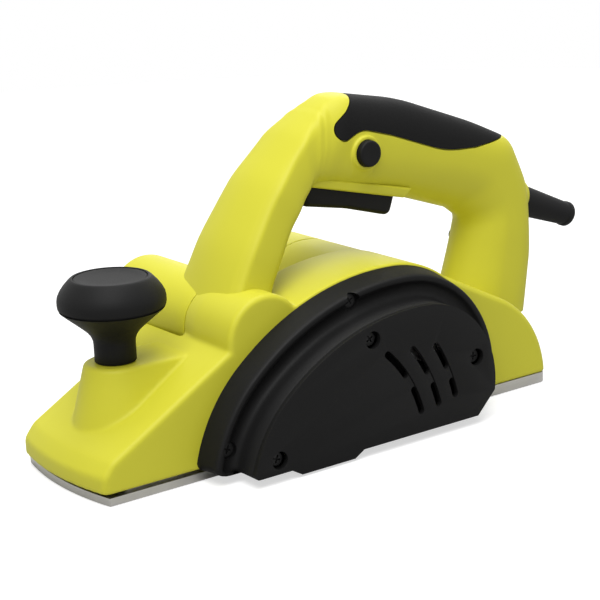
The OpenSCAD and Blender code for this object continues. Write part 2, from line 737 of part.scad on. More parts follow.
// End cap of the motor with vents, the right bearing seat and the brush bosses
module motor_end_cap() color(lime) place() difference() {
  union() {
    difference() {
      union() {
        across(barrel_r, side_y, barrel_reach, motor_at);
        for (p = ear_at) across(ear_r, side_y, barrel_reach, p);
      }
      across(cap_cavity_r, side_y - 1, barrel_reach - cap_wall, motor_at);
    }
    for (p = ear_at) across(head_r, side_y, barrel_reach, p);
    across(motor_bearing_r + bearing_seat, right_bearing_y - 1, barrel_reach - 1, motor_at);
    for (s = [-1, 1]) brush_boss(s, brush_boss_r, barrel_r - 14, barrel_r);
  }
  across(motor_shaft_r + 3, barrel_reach - cap_wall - 1, barrel_reach - cap_wall + 0.8, motor_at);
  across(motor_bearing_r, right_bearing_y - 2, barrel_reach - cap_wall, motor_at);
  for (s = [-1, 1]) {
    brush_boss(s, brush_cap_r, barrel_r - 6, barrel_r + 2);
    brush_box(s, brush_half + [brush_wall, brush_wall], 5, barrel_r);
  }
  for (i = [-3:3], z = [motor_z + 15.5, motor_z - 25.5])
    translate([motor_x + i * 6.5 - 1.5, barrel_reach - cap_wall - 1, z]) cube([3, cap_wall + 2, 10]);
  for (p = ear_at) {
    across(screw_r, side_y - 1, barrel_reach + 1, p);
    across(head_r, barrel_reach - head_h - 0.5, barrel_reach + 1, p);
  }
}

// Round boss along X for a brush, from r0 to r1 on the side s of the motor's axis
module brush_boss(s, r, r0, r1) translate([motor_x, brush_y, motor_z]) rotate([0, s * 90, 0])
  translate([0, 0, r0]) cylinder(r = r, h = r1 - r0);

// Square bar along X for a brush
module brush_box(s, half, r0, r1)
  translate([motor_x + (s > 0 ? r0 : -r1), brush_y - half[0], motor_z - half[1]])
    cube([r1 - r0, 2 * half[0], 2 * half[1]]);

// Left and main part of the handle
module handle_shell() color(lime) place() difference() {
  union() {
    handle_form();
    across(button_r + 3, -handle_half - button_rim, -cavity_y, button_at);
    along_boot(-4) cylinder(r = boot_boss_r, h = boot_boss_l + 4);
  }
  handle_cavity();
  pad_form();
  across(button_r + slide_gap, -handle_half - 5, -cavity_y + 1, button_at);
  block(
    [trigger_slot_x[0], -trigger_w / 2 - 0.4, handle_top - 80 * rise],
    [trigger_slot_x[1], trigger_w / 2 + 0.4, pin_at[1] + 7]
  );
  across(pin_r, -trigger_w / 2 - 4, seam_y + 1, pin_at);
  along_boot(boot_root_s) cylinder(r = boot_root_r, h = boot_boss_l);
  along_boot(-14) cylinder(r = cord_r + 0.4, h = 20);
  for (p = handle_screw_at) across(screw_r, seam_y - 11, seam_y + 1, p);
  for (p = clamp_screw_at) across(screw_r, clamp_y - 9, seam_y + 1, p);
  block([0, seam_y, 0], [rear_x + 60, handle_w, handle_top + 20]);
}

// Right part of the handle
module handle_cover() color(lime) place() difference() {
  intersection() {
    handle_form();
    block([0, seam_y, 0], [rear_x + 60, handle_w, handle_top + 20]);
  }
  pad_form();
  across(pin_r, seam_y - 1, seam_y + 3, pin_at);
  for (p = handle_screw_at) {
    across(screw_r, seam_y - 1, handle_w, p);
    across(head_r, handle_half - head_h - 1, handle_w, p);
  }
}

module grip_pad() color(black) place() pad_form();

// Frame of the belt guard: band, border and the wall of the raised panel
module belt_frame() color(black) place() difference() {
  union() {
    slab(guard_outline(1, guard_z, guard_heel), -band_y, -side_y);
    slab(guard_outline(border_w, guard_z, panel_heel), -cover_y, -band_y);
    slab(belly(0), -cover_y, -side_y);
  }
  difference() {
    union() {
      slab(guard_outline(1 + guard_wall, floor_z, guard_heel), -band_y + guard_wall, -back_y);
      slab(guard_outline(border_w + guard_wall, floor_z, panel_heel), -cover_y - 1, -back_y);
      slab(belly(2), -cover_y - 1, -back_y);
    }
    across(motor_bearing_r + bearing_seat, -motor_boss_y, -side_y, motor_at);
    for (p = cover_screw_at) across(4.5, -cover_y, -side_y, p);
    for (p = frame_screw_at) across(head_r + 1.2, -band_y, -side_y, p);
  }
  across(motor_bearing_r, -motor_boss_y - 1, -left_bearing_y, motor_at);
  across(motor_shaft_r + 3, -motor_boss_y, -side_y + 1, motor_at);
  for (a = [0:60:300]) across(5, -side_y - guard_wall - 1, -side_y + 1, motor_at + 24 * [cos(a), sin(a)]);
  intersection() {
    across(cheek_r + slide_gap, -cheek_y - cheek_t - 1, -side_y + 1, drum_at);
    block([0, -guard_y, cheek_z - slide_gap], [base_l, guard_y, pad_z]);
  }
  across(boss_r + slide_gap, -cheek_y - cheek_t - 1, -side_y + 1, drum_at);
  block(
    [drum_x, -cheek_y - cheek_t - 1, cheek_z - slide_gap],
    [casting_x + casting_t + slide_gap, -side_y + 1, casting_z + slide_gap]
  );
  for (p = cover_screw_at) across(screw_r, -cover_y - 1, -side_y - guard_wall, p);
  for (p = frame_screw_at) {
    across(screw_r, -band_y - 1, -side_y + 1, p);
    across(head_r, -band_y - 1, -band_y + head_h + 0.4, p);
  }
}

// Cover of the belt guard with its vent slots
module belt_cover() color(black) place() difference() {
  union() {
    slab(guard_outline(border_w, guard_z, panel_heel), -guard_y, -cover_y);
    slab(belly(0), -guard_y, -cover_y);
  }
  for (i = [0:2], span = [vent_upper[i], vent_lower[i]])
    slab(vent(vent_r[i], span[0], span[1]), -guard_y - 1, -cover_y + 1);
  for (p = cover_screw_at) {
    across(screw_r, -guard_y - 1, -cover_y + 1, p);
    across(head_r, -guard_y - 1, -guard_y + head_h, p);
  }
}

module frame_screws() color(steel) place()
  screws(frame_screw_at, -band_y + 0.4, 1, band_depth + wall - 0.6);
module cover_screws() color(steel) place() screws(cover_screw_at, -guard_y, 1, 18);
module handle_screws() color(steel) place() screws(handle_screw_at, handle_half - 1, -1, 16);
module end_cap_screws() color(steel) place()
  screws(ear_at, barrel_reach - 0.5, -1, ear_screw_l);

// Screws from below that hold the sole to the housing
module base_screws() color(steel) place() for (p = base_screw_at, s = [-1, 1])
  translate([p[0], s * p[1], 0.6]) {
    cylinder(r = head_r, h = head_h);
    cylinder(r = base_screw_r, h = base_screw_z - 1);
  }

// Cap over the right drum bearing
module bearing_cap() color(black) place() difference() {
  union() {
    across(boss_r, boss_y, boss_y + bearing_cap_t, drum_at);
    for (p = lug_at) across(lug_r, boss_y, boss_y + bearing_cap_t, p);
  }
  across(drum_shaft_r + 4, boss_y - 1, boss_y + 0.8, drum_at);
  for (p = lug_at) across(screw_r, boss_y - 1, boss_y + bearing_cap_t + 1, p);
}
module bearing_cap_screws() color(steel) place()
  screws(lug_at, boss_y + bearing_cap_t + head_h, -1, head_h + 10);

// Threaded bush for a side fence
module fence_insert() color(brass) place() ring(fence_r, fence_bore_r, side_y - fence_l, side_y, fence_at);

// Mushroom knob for the depth of cut
module depth_knob() color(black) place() translate([knob_x, 0, pad_z + 0.4]) difference() {
  rotate_extrude() polygon(rounded([
    [spindle_r, 0, 0.1], [stem_r, 0, 0.4], [stem_r, 11.5, 7], [knob_r, knob_h * 0.64, 5],
    [knob_r, knob_h * 0.78, 7], [knob_r * 0.7, knob_h, 4], [spindle_r, knob_h, 0.1]
  ]));
  rotate_extrude() translate([knob_r - 0.8, knob_h * 0.64]) square([2, 0.5]);
  translate([0, 0, knob_h - 2]) cylinder(r = knob_r * 0.68, h = 3);
  translate([0, 0, knob_h - 11]) cylinder(r = 9.5, h = 12, $fn = 6);
}
module knob_cap() color(black) place() translate([knob_x, 0, pad_z + 0.4 + knob_h - 2])
  cylinder(r = knob_r * 0.68, h = 1.7);
module knob_nut() color(steel) place() translate([knob_x, 0, pad_z + 0.4 + knob_h - 11]) difference() {
  cylinder(r = 9.5, h = 8, $fn = 6);
  translate([0, 0, -1]) cylinder(r = spindle_r, h = 10);
}
module depth_spindle() color(steel) place() translate([knob_x, 0, shoe_t + 3])
  cylinder(r = spindle_r, h = pad_z + knob_h - shoe_t - 6);
module spindle_clip() color(steel) place()
  translate([knob_x, 0, clip_z]) difference() {
    cylinder(r = spindle_r + 3, h = clip_t);
    translate([0, 0, -1]) cylinder(r = spindle_r, h = clip_t + 2);
  }

// One blade and its clamp lie in a pocket of the drum, on the side s
module on_drum(s) translate([drum_x, 0, drum_z]) rotate([0, s > 0 ? 0 : 180, 0]) children();
module blade_bar(reach) translate([14, -drum_end_y, 0]) cube([tip_r - 14 - reach, 2 * drum_end_y, blade_t]);
module clamp_bar() translate([14, -drum_end_y, blade_t]) cube([drum_r - 16, 2 * drum_end_y, clamp_t]);
clamp_bolt_y = [-28, 0, 28];

module cutter_drum() color(aluminium) place() difference() {
  across(drum_r, -drum_end_y, drum_end_y, drum_at);
  across(drum_shaft_r + 2, -guard_y, guard_y, drum_at);
  for (s = [-1, 1]) on_drum(s) {
    translate([14, -side_y, 0]) cube([tip_r, cut_w, blade_t + clamp_t]);
    for (y = clamp_bolt_y) translate([17.5, y, -5]) cylinder(r = 2, h = 12);
  }
}
module drum_shaft() color(steel) place() {
  across(drum_shaft_r, -pulley_y1 - nut_h, boss_y - 0.5, drum_at);
  across(drum_shaft_r + 2, -bearing_y + 0.3, bearing_y - 0.3, drum_at);
}
module cutter_blades() color(steel) place() for (s = [-1, 1]) on_drum(s) difference() {
  blade_bar(0);
  for (y = clamp_bolt_y) translate([17.5, y, -1]) cylinder(r = 2, h = 4);
}
module blade_clamps() color(steel) place() for (s = [-1, 1]) on_drum(s) difference() {
  clamp_bar();
  for (y = clamp_bolt_y) translate([17.5, y, 0]) cylinder(r = 2, h = 10);
}
module clamp_bolts() color(steel) place() for (s = [-1, 1], y = clamp_bolt_y)
  on_drum(s) translate([17.5, y, -4.8]) cylinder(r = 2, h = 4.6 + blade_t + clamp_t);
module drum_pulley() color(black) place() difference() {
  across(drum_pulley_r, -pulley_y1, -pulley_y0, drum_at);
  across(drum_shaft_r, -guard_y, 0, drum_at);
  for (a = [0:60:300]) across(3.2, -guard_y, 0, drum_at + 11.5 * [cos(a), sin(a)]);
}
module pulley_nut() color(steel) place() difference() {
  translate([drum_x, -pulley_y1, drum_z]) rotate([90, 0, 0]) cylinder(r = 9, h = nut_h, $fn = 6);
  across(drum_shaft_r, -guard_y, 0, drum_at);
}

// Rings of a pair of bearings about one axis
module inner_rings(at, bore, r, places, w) for (y = places)
  ring(bore + (r - bore) * 0.28, bore, y, y + w, at);
module outer_rings(at, bore, r, places, w) for (y = places)
  ring(r, r - (r - bore) * 0.28, y, y + w, at);
drum_bearing_places = [-bearing_y - drum_bearing_w, bearing_y];
motor_bearing_places = [-left_bearing_y - motor_bearing_w, right_bearing_y];

module drum_bearing_inner() color(steel) place()
  inner_rings(drum_at, drum_shaft_r, drum_bearing_r, drum_bearing_places, drum_bearing_w);
module drum_bearing_outer() color(steel) place()
  outer_rings(drum_at, drum_shaft_r, drum_bearing_r, drum_bearing_places, drum_bearing_w);
module motor_bearing_inner() color(steel) place()
  inner_rings(motor_at, motor_shaft_r, motor_bearing_r, motor_bearing_places, motor_bearing_w);
module motor_bearing_outer() color(steel) place()
  outer_rings(motor_at, motor_shaft_r, motor_bearing_r, motor_bearing_places, motor_bearing_w);
module bearing_balls() color(steel) place() {
  balls(drum_at, drum_shaft_r, drum_bearing_r, drum_bearing_places, drum_bearing_w);
  balls(motor_at, motor_shaft_r, motor_bearing_r, motor_bearing_places, motor_bearing_w);
}

module drive_belt() color(black) place() difference() {
  slab(belt_loop(belt_gap + belt_t), -belt_y - belt_w, -belt_y);
  slab(belt_loop(belt_gap), -belt_y - belt_w - 1, -belt_y + 1);
}
module motor_pulley() color(aluminium) place()
  ring(motor_pulley_r, motor_shaft_r, -pulley_y1, -pulley_y0, motor_at);
module motor_shaft() color(steel) place() {
  across(motor_shaft_r, -pulley_y1 - 2, barrel_reach - cap_wall - 0.5, motor_at);
  across(motor_shaft_r + 2, fan_y0 - 1, right_bearing_y - 0.3, motor_at);
}
module armature_core() color(steel) place() difference() {
  across(armature_r, stack_y0, stack_y1, motor_at);
  across(motor_shaft_r + 2, -side_y, side_y + 1, motor_at);
  for (a = [0:30:330]) translate([motor_x, stack_y0 - 1, motor_z]) rotate([0, a, 0])
    translate([armature_r - 6, 0, -1]) cube([8, stack_l + 2, 2]);
}
module armature_windings() color(copper) place() {
  ring(armature_r - 3, motor_shaft_r + 2, stack_y0 - winding_l, stack_y0, motor_at);
  ring(armature_r - 3, motor_shaft_r + 2, stack_y1, stack_y1 + winding_l, motor_at);
}
module commutator() color(copper) place() difference() {
  across(commutator_r, commutator_y0, commutator_y1, motor_at);
  across(motor_shaft_r + 2, -side_y, barrel_reach, motor_at);
  for (a = [0:22.5:337.5]) translate([motor_x, commutator_y0 - 1, motor_z]) rotate([0, a, 0])
    translate([commutator_r - 1, 0, -0.3]) cube([3, commutator_y1 - commutator_y0 + 2, 0.6]);
}
module cooling_fan() color(black) place() difference() {
  union() {
    across(fan_r, fan_y1 - 2, fan_y1, motor_at);
    across(motor_shaft_r + 6, fan_y0, fan_y1, motor_at);
    for (a = [0:30:330]) translate([motor_x, fan_y0, motor_z]) rotate([0, a, 0])
      translate([motor_shaft_r + 5, 0, -0.8]) cube([fan_r - motor_shaft_r - 6, fan_y1 - fan_y0, 1.6]);
  }
  across(motor_shaft_r + 2, -side_y, side_y, motor_at);
}

// Coil spaces beside the poles are left open in the laminations
stator_bore_r = armature_r + 0.5;
coil_x = [stator_bore_r + 0.5, stator_r - 10];
coil_top = stator_r - 11;
coil_z = [5, 14];
module stator_core() color(steel) place() difference() {
  across(stator_r, stack_y0, stack_y1, motor_at);
  across(stator_bore_r, -side_y, side_y, motor_at);
  for (s = [-1, 1]) {
    x = [motor_x + s * (stator_bore_r - 4), motor_x + s * (coil_x[1] + 1)];
    block([min(x), stack_y0 - 1, motor_z - coil_z[1] - 1], [max(x), stack_y1 + 1, motor_z + coil_z[1] + 1]);
  }
}
module field_coils() color(copper) place() for (turn = [0, 180])
  translate([motor_x, 0, motor_z]) rotate([0, turn, 0]) {
    for (s = [-1, 1]) {
      x = [s * coil_x[0], s * coil_x[1]];
      block([min(x), stack_y0 - coil_end, coil_z[0]], [max(x), stack_y1 + coil_end, coil_z[1]]);
    }
    for (y = [stack_y0 - coil_end, stack_y1]) difference() {
      block([-coil_x[1], y, coil_z[0]], [coil_x[1], y + coil_end, coil_top]);
      block([-coil_x[0], y - 1, 0], [coil_x[0], y + coil_end + 1, stator_bore_r + 1]);
    }
  }
module brush_holders() color(brass) place() for (s = [-1, 1]) difference() {
  brush_box(s, brush_half + [brush_wall, brush_wall], commutator_r + 2, barrel_r - 6);
  brush_box(s, brush_half, commutator_r, barrel_r);
}
module carbon_brushes() color(black) place() for (s = [-1, 1])
  brush_box(s, brush_half - [0.1, 0.1], commutator_r + slide_gap, brush_end_r);
module brush_springs() color(steel) place() for (s = [-1, 1]) translate([motor_x, brush_y, motor_z])
  rotate([0, s * 90, 0]) translate([0, 0, brush_end_r]) coil(2.2, 0.4, barrel_r - 6 - brush_end_r, 6);
module brush_caps() color(black) place() for (s = [-1, 1]) difference() {
  brush_boss(s, brush_cap_r, barrel_r - 6, barrel_r + 0.5);
  translate([motor_x + s * barrel_r - 1, brush_y - brush_cap_r + 2, motor_z - 0.6])
    cube([2, 2 * brush_cap_r - 4, 1.2]);
}

module switch_body() color(black) place() translate([switch_at[0], switch_y[0], switch_at[1]])
  cube([switch_size[0], switch_y[1] - switch_y[0], switch_size[1]]);
module trigger() color(black) place() difference() {
  union() {
    slab(rounded(trigger_corners), -trigger_w / 2, trigger_w / 2);
    across(pin_eye_r, -trigger_w / 2, trigger_w / 2, pin_at);
    translate([trigger_spring_x, 0, trigger_spring_z - 5]) cylinder(r = 4.5, h = 5);
  }
  across(pin_r + run_gap, -trigger_w, trigger_w, pin_at);
}
module trigger_pin() color(steel) place() across(pin_r, -trigger_w / 2 - 4, seam_y + 3, pin_at);
module trigger_spring() color(steel) place() translate([trigger_spring_x, 0, trigger_spring_z])
  coil(3, 0.5, switch_at[1] - trigger_spring_z, 5);
module lock_button() color(black) place() {
  across(button_r, -handle_half - button_proud, -cavity_y + 1.5, button_at);
  across(button_r + 1.5, -cavity_y + slide_gap, -cavity_y + 2, button_at);
}
module lock_spring() color(steel) place() translate([button_at[0], -cavity_y + 2, button_at[1]])
  rotate([-90, 0, 0]) coil(4, 0.5, switch_y[0] + cavity_y - 2, 4);
module capacitor() color([0.75, 0.7, 0.2]) place()
  block([capacitor_x[0], -4, post_floor_z], [capacitor_x[1], seam_y - 0.2, post_floor_z + 9]);

// Bar that holds the cord down inside the handle
module cord_clamp() color(black) place() difference() {
  block([clamp_at[0] - 4, clamp_y, clamp_at[1] - 13], [clamp_at[0] + 4, clamp_head_y, clamp_at[1] + 13]);
  for (p = clamp_screw_at) across(screw_r, 0, seam_y, p);
}
module clamp_screws() color(steel) place() screws(clamp_screw_at, clamp_head_y + head_h, -1, 15);

// Boot at the cord inlet
module cord_boot() color(black) place() along_boot(0) rotate_extrude() polygon([
  [cord_r, boot_root_s], [boot_root_r, boot_root_s], [boot_root_r, boot_boss_l], [boot_r, boot_boss_l],
  [boot_tip_r, boot_boss_l + boot_l - 4], [boot_tip_r + 0.6, boot_boss_l + boot_l - 4],
  [boot_tip_r + 0.6, boot_boss_l + boot_l], [cord_r, boot_boss_l + boot_l]
]);

rear_base();
front_shoe();
shoe_springs();
main_housing();
chip_outlet();
motor_end_cap();
handle_shell();
handle_cover();
grip_pad();
belt_frame();
belt_cover();
frame_screws();
cover_screws();
handle_screws();
base_screws();
end_cap_screws();
bearing_cap();
bearing_cap_screws();
fence_insert();
depth_knob();
knob_cap();
knob_nut();
depth_spindle();
spindle_clip();
cutter_drum();
drum_shaft();
cutter_blades();
blade_clamps();
clamp_bolts();
drum_pulley();
pulley_nut();
drum_bearing_inner();
drum_bearing_outer();
drive_belt();
motor_pulley();
motor_shaft();
armature_core();
armature_windings();
commutator();
cooling_fan();
motor_bearing_inner();
motor_bearing_outer();
bearing_balls();
stator_core();
field_coils();
brush_holders();
carbon_brushes();
brush_springs();
brush_caps();
switch_body();
trigger();
trigger_pin();
trigger_spring();
lock_button();
lock_spring();
capacitor();
cord_clamp();
clamp_screws();
cord_boot();
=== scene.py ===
import json
import math

import bmesh
import bpy
from mathutils import Matrix, Vector


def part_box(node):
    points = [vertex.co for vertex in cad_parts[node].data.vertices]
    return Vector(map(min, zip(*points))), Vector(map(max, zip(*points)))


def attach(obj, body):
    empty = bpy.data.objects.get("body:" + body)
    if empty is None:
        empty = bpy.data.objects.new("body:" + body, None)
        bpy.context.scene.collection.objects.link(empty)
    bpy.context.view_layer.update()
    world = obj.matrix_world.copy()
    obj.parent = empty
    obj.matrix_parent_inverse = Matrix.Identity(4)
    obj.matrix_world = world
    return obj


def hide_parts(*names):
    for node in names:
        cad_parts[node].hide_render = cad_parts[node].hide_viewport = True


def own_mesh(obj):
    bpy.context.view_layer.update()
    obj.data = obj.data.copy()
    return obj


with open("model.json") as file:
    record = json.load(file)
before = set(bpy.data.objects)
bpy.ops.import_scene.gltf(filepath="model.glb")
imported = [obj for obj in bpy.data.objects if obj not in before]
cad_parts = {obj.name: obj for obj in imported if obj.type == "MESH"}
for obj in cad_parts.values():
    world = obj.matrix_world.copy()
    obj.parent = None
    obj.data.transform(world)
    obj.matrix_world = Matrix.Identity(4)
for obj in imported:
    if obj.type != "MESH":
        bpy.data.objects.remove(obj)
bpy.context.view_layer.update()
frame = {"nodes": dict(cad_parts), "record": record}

# Sizes are in millimetres, laid out from the front corners of the base, as in the part's source.
BASE_L = 286
SIDE = 41
SOLE_T = 5.8
BOW_R = 170.6
DRUM = (112, 24.2)
MOTOR = (178, 49)
DUCT = (94.5, 64)
DUCT_R = 22.5
DUCT_SEAM = 3
OUTLET_REACH = 75
OUTLET_R = 23.2
GROOVE_R = 21.2
BARREL_R = 38.3
BARREL_REACH = 72
CAP_BORE_R = 34.8
PLATE_Y = 66.4
EAR_CIRCLE_R = 36.05
EAR_R = 4.5
KNOB_X = 31
PAD_Z = 57
HANDLE_SEAM = 14
BUTTON = (177, 143.6)
TRIGGER_PIN = (148, 134)
BOOT = (292, 101)
BOOT_TILT = math.radians(21)
GUARD_WELL_R = 4.6
ALONG_Y = (0, 1, 0)
ALONG_Z = (0, 0, 1)


def at(x, y, z):
    """Point of the planer, in metres with the base centred on the origin."""
    return Vector(((x - BASE_L / 2) / 1000, y / 1000, z / 1000))


def middle_of(place):
    """Point of a side-view place on the planer's middle plane."""
    return at(place[0], 0, place[1])


# Modelling steps

def fresh():
    if bpy.context.object and bpy.context.object.mode != "OBJECT":
        bpy.ops.object.mode_set(mode="OBJECT")
    bpy.ops.object.select_all(action="DESELECT")


def pick(piece):
    fresh()
    piece.select_set(True)
    bpy.context.view_layer.objects.active = piece


def modify(piece, kind, **settings):
    pick(piece)
    step = piece.modifiers.new(kind, kind)
    for name, value in settings.items():
        setattr(step, name, value)
    bpy.ops.object.modifier_apply(modifier=step.name)


def carve(piece, cutter, operation="DIFFERENCE"):
    modify(piece, "BOOLEAN", object=cutter, operation=operation, solver="EXACT")
    bpy.data.objects.remove(cutter)


def join_on(piece, part):
    carve(piece, part, "UNION")


def named(name):
    piece = bpy.context.object
    piece.name = name
    piece.data.name = name
    return piece


def loft(name, rings):
    """Solid through rings of points: the first ring is a face, and each next ring is extruded from it."""
    fresh()
    bpy.ops.mesh.primitive_circle_add(vertices=len(rings[0]), fill_type="NGON")
    piece = named(name)
    bpy.ops.object.mode_set(mode="EDIT")
    mesh = bmesh.from_edit_mesh(piece.data)
    place = mesh.verts.layers.int.new("place")
    mesh.faces.ensure_lookup_table()
    for i, v in enumerate(mesh.faces[0].verts):
        v[place] = i
        v.co = rings[0][i]
    for ring in rings[1:]:
        bpy.ops.mesh.extrude_region()
        mesh = bmesh.from_edit_mesh(piece.data)
        place = mesh.verts.layers.int["place"]
        for v in mesh.verts:
            if v.select:
                v.co = ring[v[place]]
    mesh.verts.layers.int.remove(place)
    bpy.ops.mesh.select_all(action="SELECT")
    bpy.ops.mesh.normals_make_consistent(inside=False)
    bpy.ops.object.mode_set(mode="OBJECT")
    return piece


def turned(name, profile, origin, axis, steps=72):
    """Solid of revolution from a closed profile of (radius, distance along the axis)."""
    fresh()
    axis = Vector(axis).normalized()
    across = axis.orthogonal().normalized()
    bpy.ops.mesh.primitive_circle_add(vertices=len(profile), fill_type="NOTHING")
    piece = named(name)
    for v, (r, s) in zip(piece.data.vertices, profile):
        v.co = origin + (axis * s + across * r) / 1000
    bpy.ops.object.mode_set(mode="EDIT")
    bpy.ops.mesh.select_all(action="SELECT")
    bpy.ops.mesh.spin(steps=steps, angle=2 * math.pi, center=origin, axis=axis)
    bpy.ops.mesh.select_all(action="SELECT")
    bpy.ops.mesh.remove_doubles(threshold=1e-6)
    bpy.ops.mesh.dissolve_degenerate(threshold=1e-7)
    bpy.ops.mesh.select_all(action="SELECT")
    bpy.ops.mesh.normals_make_consistent(inside=False)
    bpy.ops.object.mode_set(mode="OBJECT")
    return piece


def drum(name, radius, y0, y1, centre, sides=96):
    """Plain cylinder along Y."""
    fresh()
    bpy.ops.mesh.primitive_cylinder_add(
        vertices=sides, radius=radius / 1000, depth=(y1 - y0) / 1000,
        location=at(centre[0], (y0 + y1) / 2, centre[1]), rotation=(math.pi / 2, 0, 0))
    bpy.ops.object.transform_apply(location=True, rotation=True, scale=True)
    return named(name)


def block(name, low, high):
    """Plain box from one corner to the other."""
    fresh()
    bpy.ops.mesh.primitive_cube_add(size=1, location=(at(*low) + at(*high)) / 2)
    bpy.context.object.scale = at(*high) - at(*low)
    bpy.ops.object.transform_apply(location=True, rotation=True, scale=True)
    return named(name)


def prism(name, outline, y0, y1):
    """Side-view outline drawn out along Y."""
    return loft(name, [[at(x, y, z) for x, z in outline] for y in (y0, y1)])


def soften_edges(piece, width, angle=30, segments=3):
    modify(piece, "BEVEL", width=width / 1000, segments=segments, limit_method="ANGLE",
           angle_limit=math.radians(angle), use_clamp_overlap=True, miter_outer="MITER_ARC")


def mould(piece, voxel, passes, faces):
    """Runs the joined forms into one moulded skin with small fillets, then thins its faces."""
    modify(piece, "REMESH", mode="VOXEL", voxel_size=voxel / 1000)
    modify(piece, "SMOOTH", factor=0.5, iterations=passes)
    count = sum(len(p.vertices) - 2 for p in piece.data.polygons)
    if count > faces:
        modify(piece, "DECIMATE", ratio=faces / count)


def trim(piece, point, normal):
    """Cuts away what lies on the side that the normal points to, and closes the cut."""
    pick(piece)
    bpy.ops.object.mode_set(mode="EDIT")
    bpy.ops.mesh.select_all(action="SELECT")
    bpy.ops.mesh.bisect(plane_co=point, plane_no=normal, use_fill=True, clear_outer=True)
    bpy.ops.object.mode_set(mode="OBJECT")


def copy_of(piece, name):
    fresh()
    twin = piece.copy()
    twin.data = piece.data.copy()
    bpy.context.scene.collection.objects.link(twin)
    twin.name = name
    twin.data.name = name
    return twin


def fit(piece, body, slot, material, *nodes, angle=35):
    """Smooths, paints and places a finished piece on its body."""
    pick(piece)
    bpy.ops.object.shade_smooth_by_angle(angle=math.radians(angle))
    piece.data.materials.clear()
    piece.data.materials.append(material)
    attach(piece, body)
    if nodes:
        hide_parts(*nodes)


# Side-view outlines

def on_circle(centre, r, a):
    """Point of a circle at a degrees."""
    return centre[0] + r * math.cos(math.radians(a)), centre[1] + r * math.sin(math.radians(a))


def arc(centre, r, a0, a1, n):
    return [on_circle(centre, r, a0 + (a1 - a0) * i / n) for i in range(n + 1)]


def heading(a, b):
    return math.degrees(math.atan2(b[1] - a[1], b[0] - a[0]))


def corner(a, b, c, r, steps):
    """Arc that rounds the corner b between a and c."""
    a, b, c = Vector(a), Vector(b), Vector(c)
    u, v = (a - b).normalized(), (c - b).normalized()
    half = u.angle(v) / 2
    centre = b + (u + v).normalized() * r / math.sin(half)
    start = heading(centre, b + u * r / math.tan(half))
    turn = (heading(centre, b + v * r / math.tan(half)) - start + 180) % 360 - 180
    return arc(centre, r, start, start + turn, steps)


def rounded(corners, steps=8):
    n = len(corners)
    return [p for i in range(n) for p in
            corner(corners[i - 1][:2], corners[i][:2], corners[(i + 1) % n][:2], corners[i][2], steps)]


def rounded_path(corners, steps=10):
    path = [corners[0][:2]]
    for a, b, c in zip(corners, corners[1:], corners[2:]):
        path += corner(a[:2], b[:2], c[:2], b[2], steps)
    return path + [corners[-1][:2]]


def inset(corners, d):
    """Corner list moved inwards by d."""
    out = []
    for i, (x, z, r) in enumerate(corners):
        b = Vector((x, z))
        before, after = Vector(corners[i - 1][:2]), Vector(corners[(i + 1) % len(corners)][:2])
        e, f = (b - before).normalized(), (after - b).normalized()
        p, q = Vector((-e.y, e.x)), Vector((-f.y, f.x))
        bend = e.x * f.y - e.y * f.x
        b = b + d * (p + q) / (1 + p.dot(q))
        out.append((b.x, b.y, max(0.3, r - d * math.copysign(1, bend))))
    return out


class Path:
    """Polyline that can be asked for the point at a length along it."""

    def __init__(self, points):
        self.points = [Vector(p) for p in points]
        self.reach = [0]
        for a, b in zip(self.points, self.points[1:]):
            self.reach.append(self.reach[-1] + (b - a).length)

    def point(self, s):
        for i, (a, b) in enumerate(zip(self.reach, self.reach[1:])):
            if s <= b or i == len(self.reach) - 2:
                return self.points[i].lerp(self.points[i + 1], (s - a) / max(b - a, 1e-9))

    def nearest(self, target):
        target = Vector(target)
        best = None
        for i, (a, b) in enumerate(zip(self.points, self.points[1:])):
            t = min(1, max(0, (target - a).dot(b - a) / max((b - a).length_squared, 1e-12)))
            gap = (a.lerp(b, t) - target).length
            if best is None or gap < best[0]:
                best = (gap, self.reach[i] + t * (b - a).length)
        return best[1]


def between(keys, t):
    """Value at t on a smooth line through (t, value) keys."""
    for (t0, a), (t1, b) in zip(keys, keys[1:]):
        if t <= t1:
            k = min(1, max(0, (t - t0) / (t1 - t0)))
            return a + (b - a) * k * k * (3 - 2 * k)
    return keys[-1][1]


def edge_round(r, steps=7):
    """(distance in from the end face, inset) pairs of a rounded end edge, from the end face inwards."""
    angles = [math.pi / 2 * i / steps for i in range(steps + 1)]
    return [(r * (1 - math.cos(a)), r * (1 - math.sin(a))) for a in angles]


# Belt guard outline: three arcs, each tangent to the next
GUARD_FRONT, GUARD_FRONT_R = (130, -10), 83.25
GUARD_TOP = (167.5, -52.7)
GUARD_REAR = (171.9, 23.3)
GUARD_TOP_R = GUARD_FRONT_R + math.dist(GUARD_FRONT, GUARD_TOP)
GUARD_REAR_R = GUARD_TOP_R - math.dist(GUARD_REAR, GUARD_TOP)
GUARD_Z = 4.5
BELLY = [(86, 4.5), (92, 1), (125, 1), (131, 4.5)]


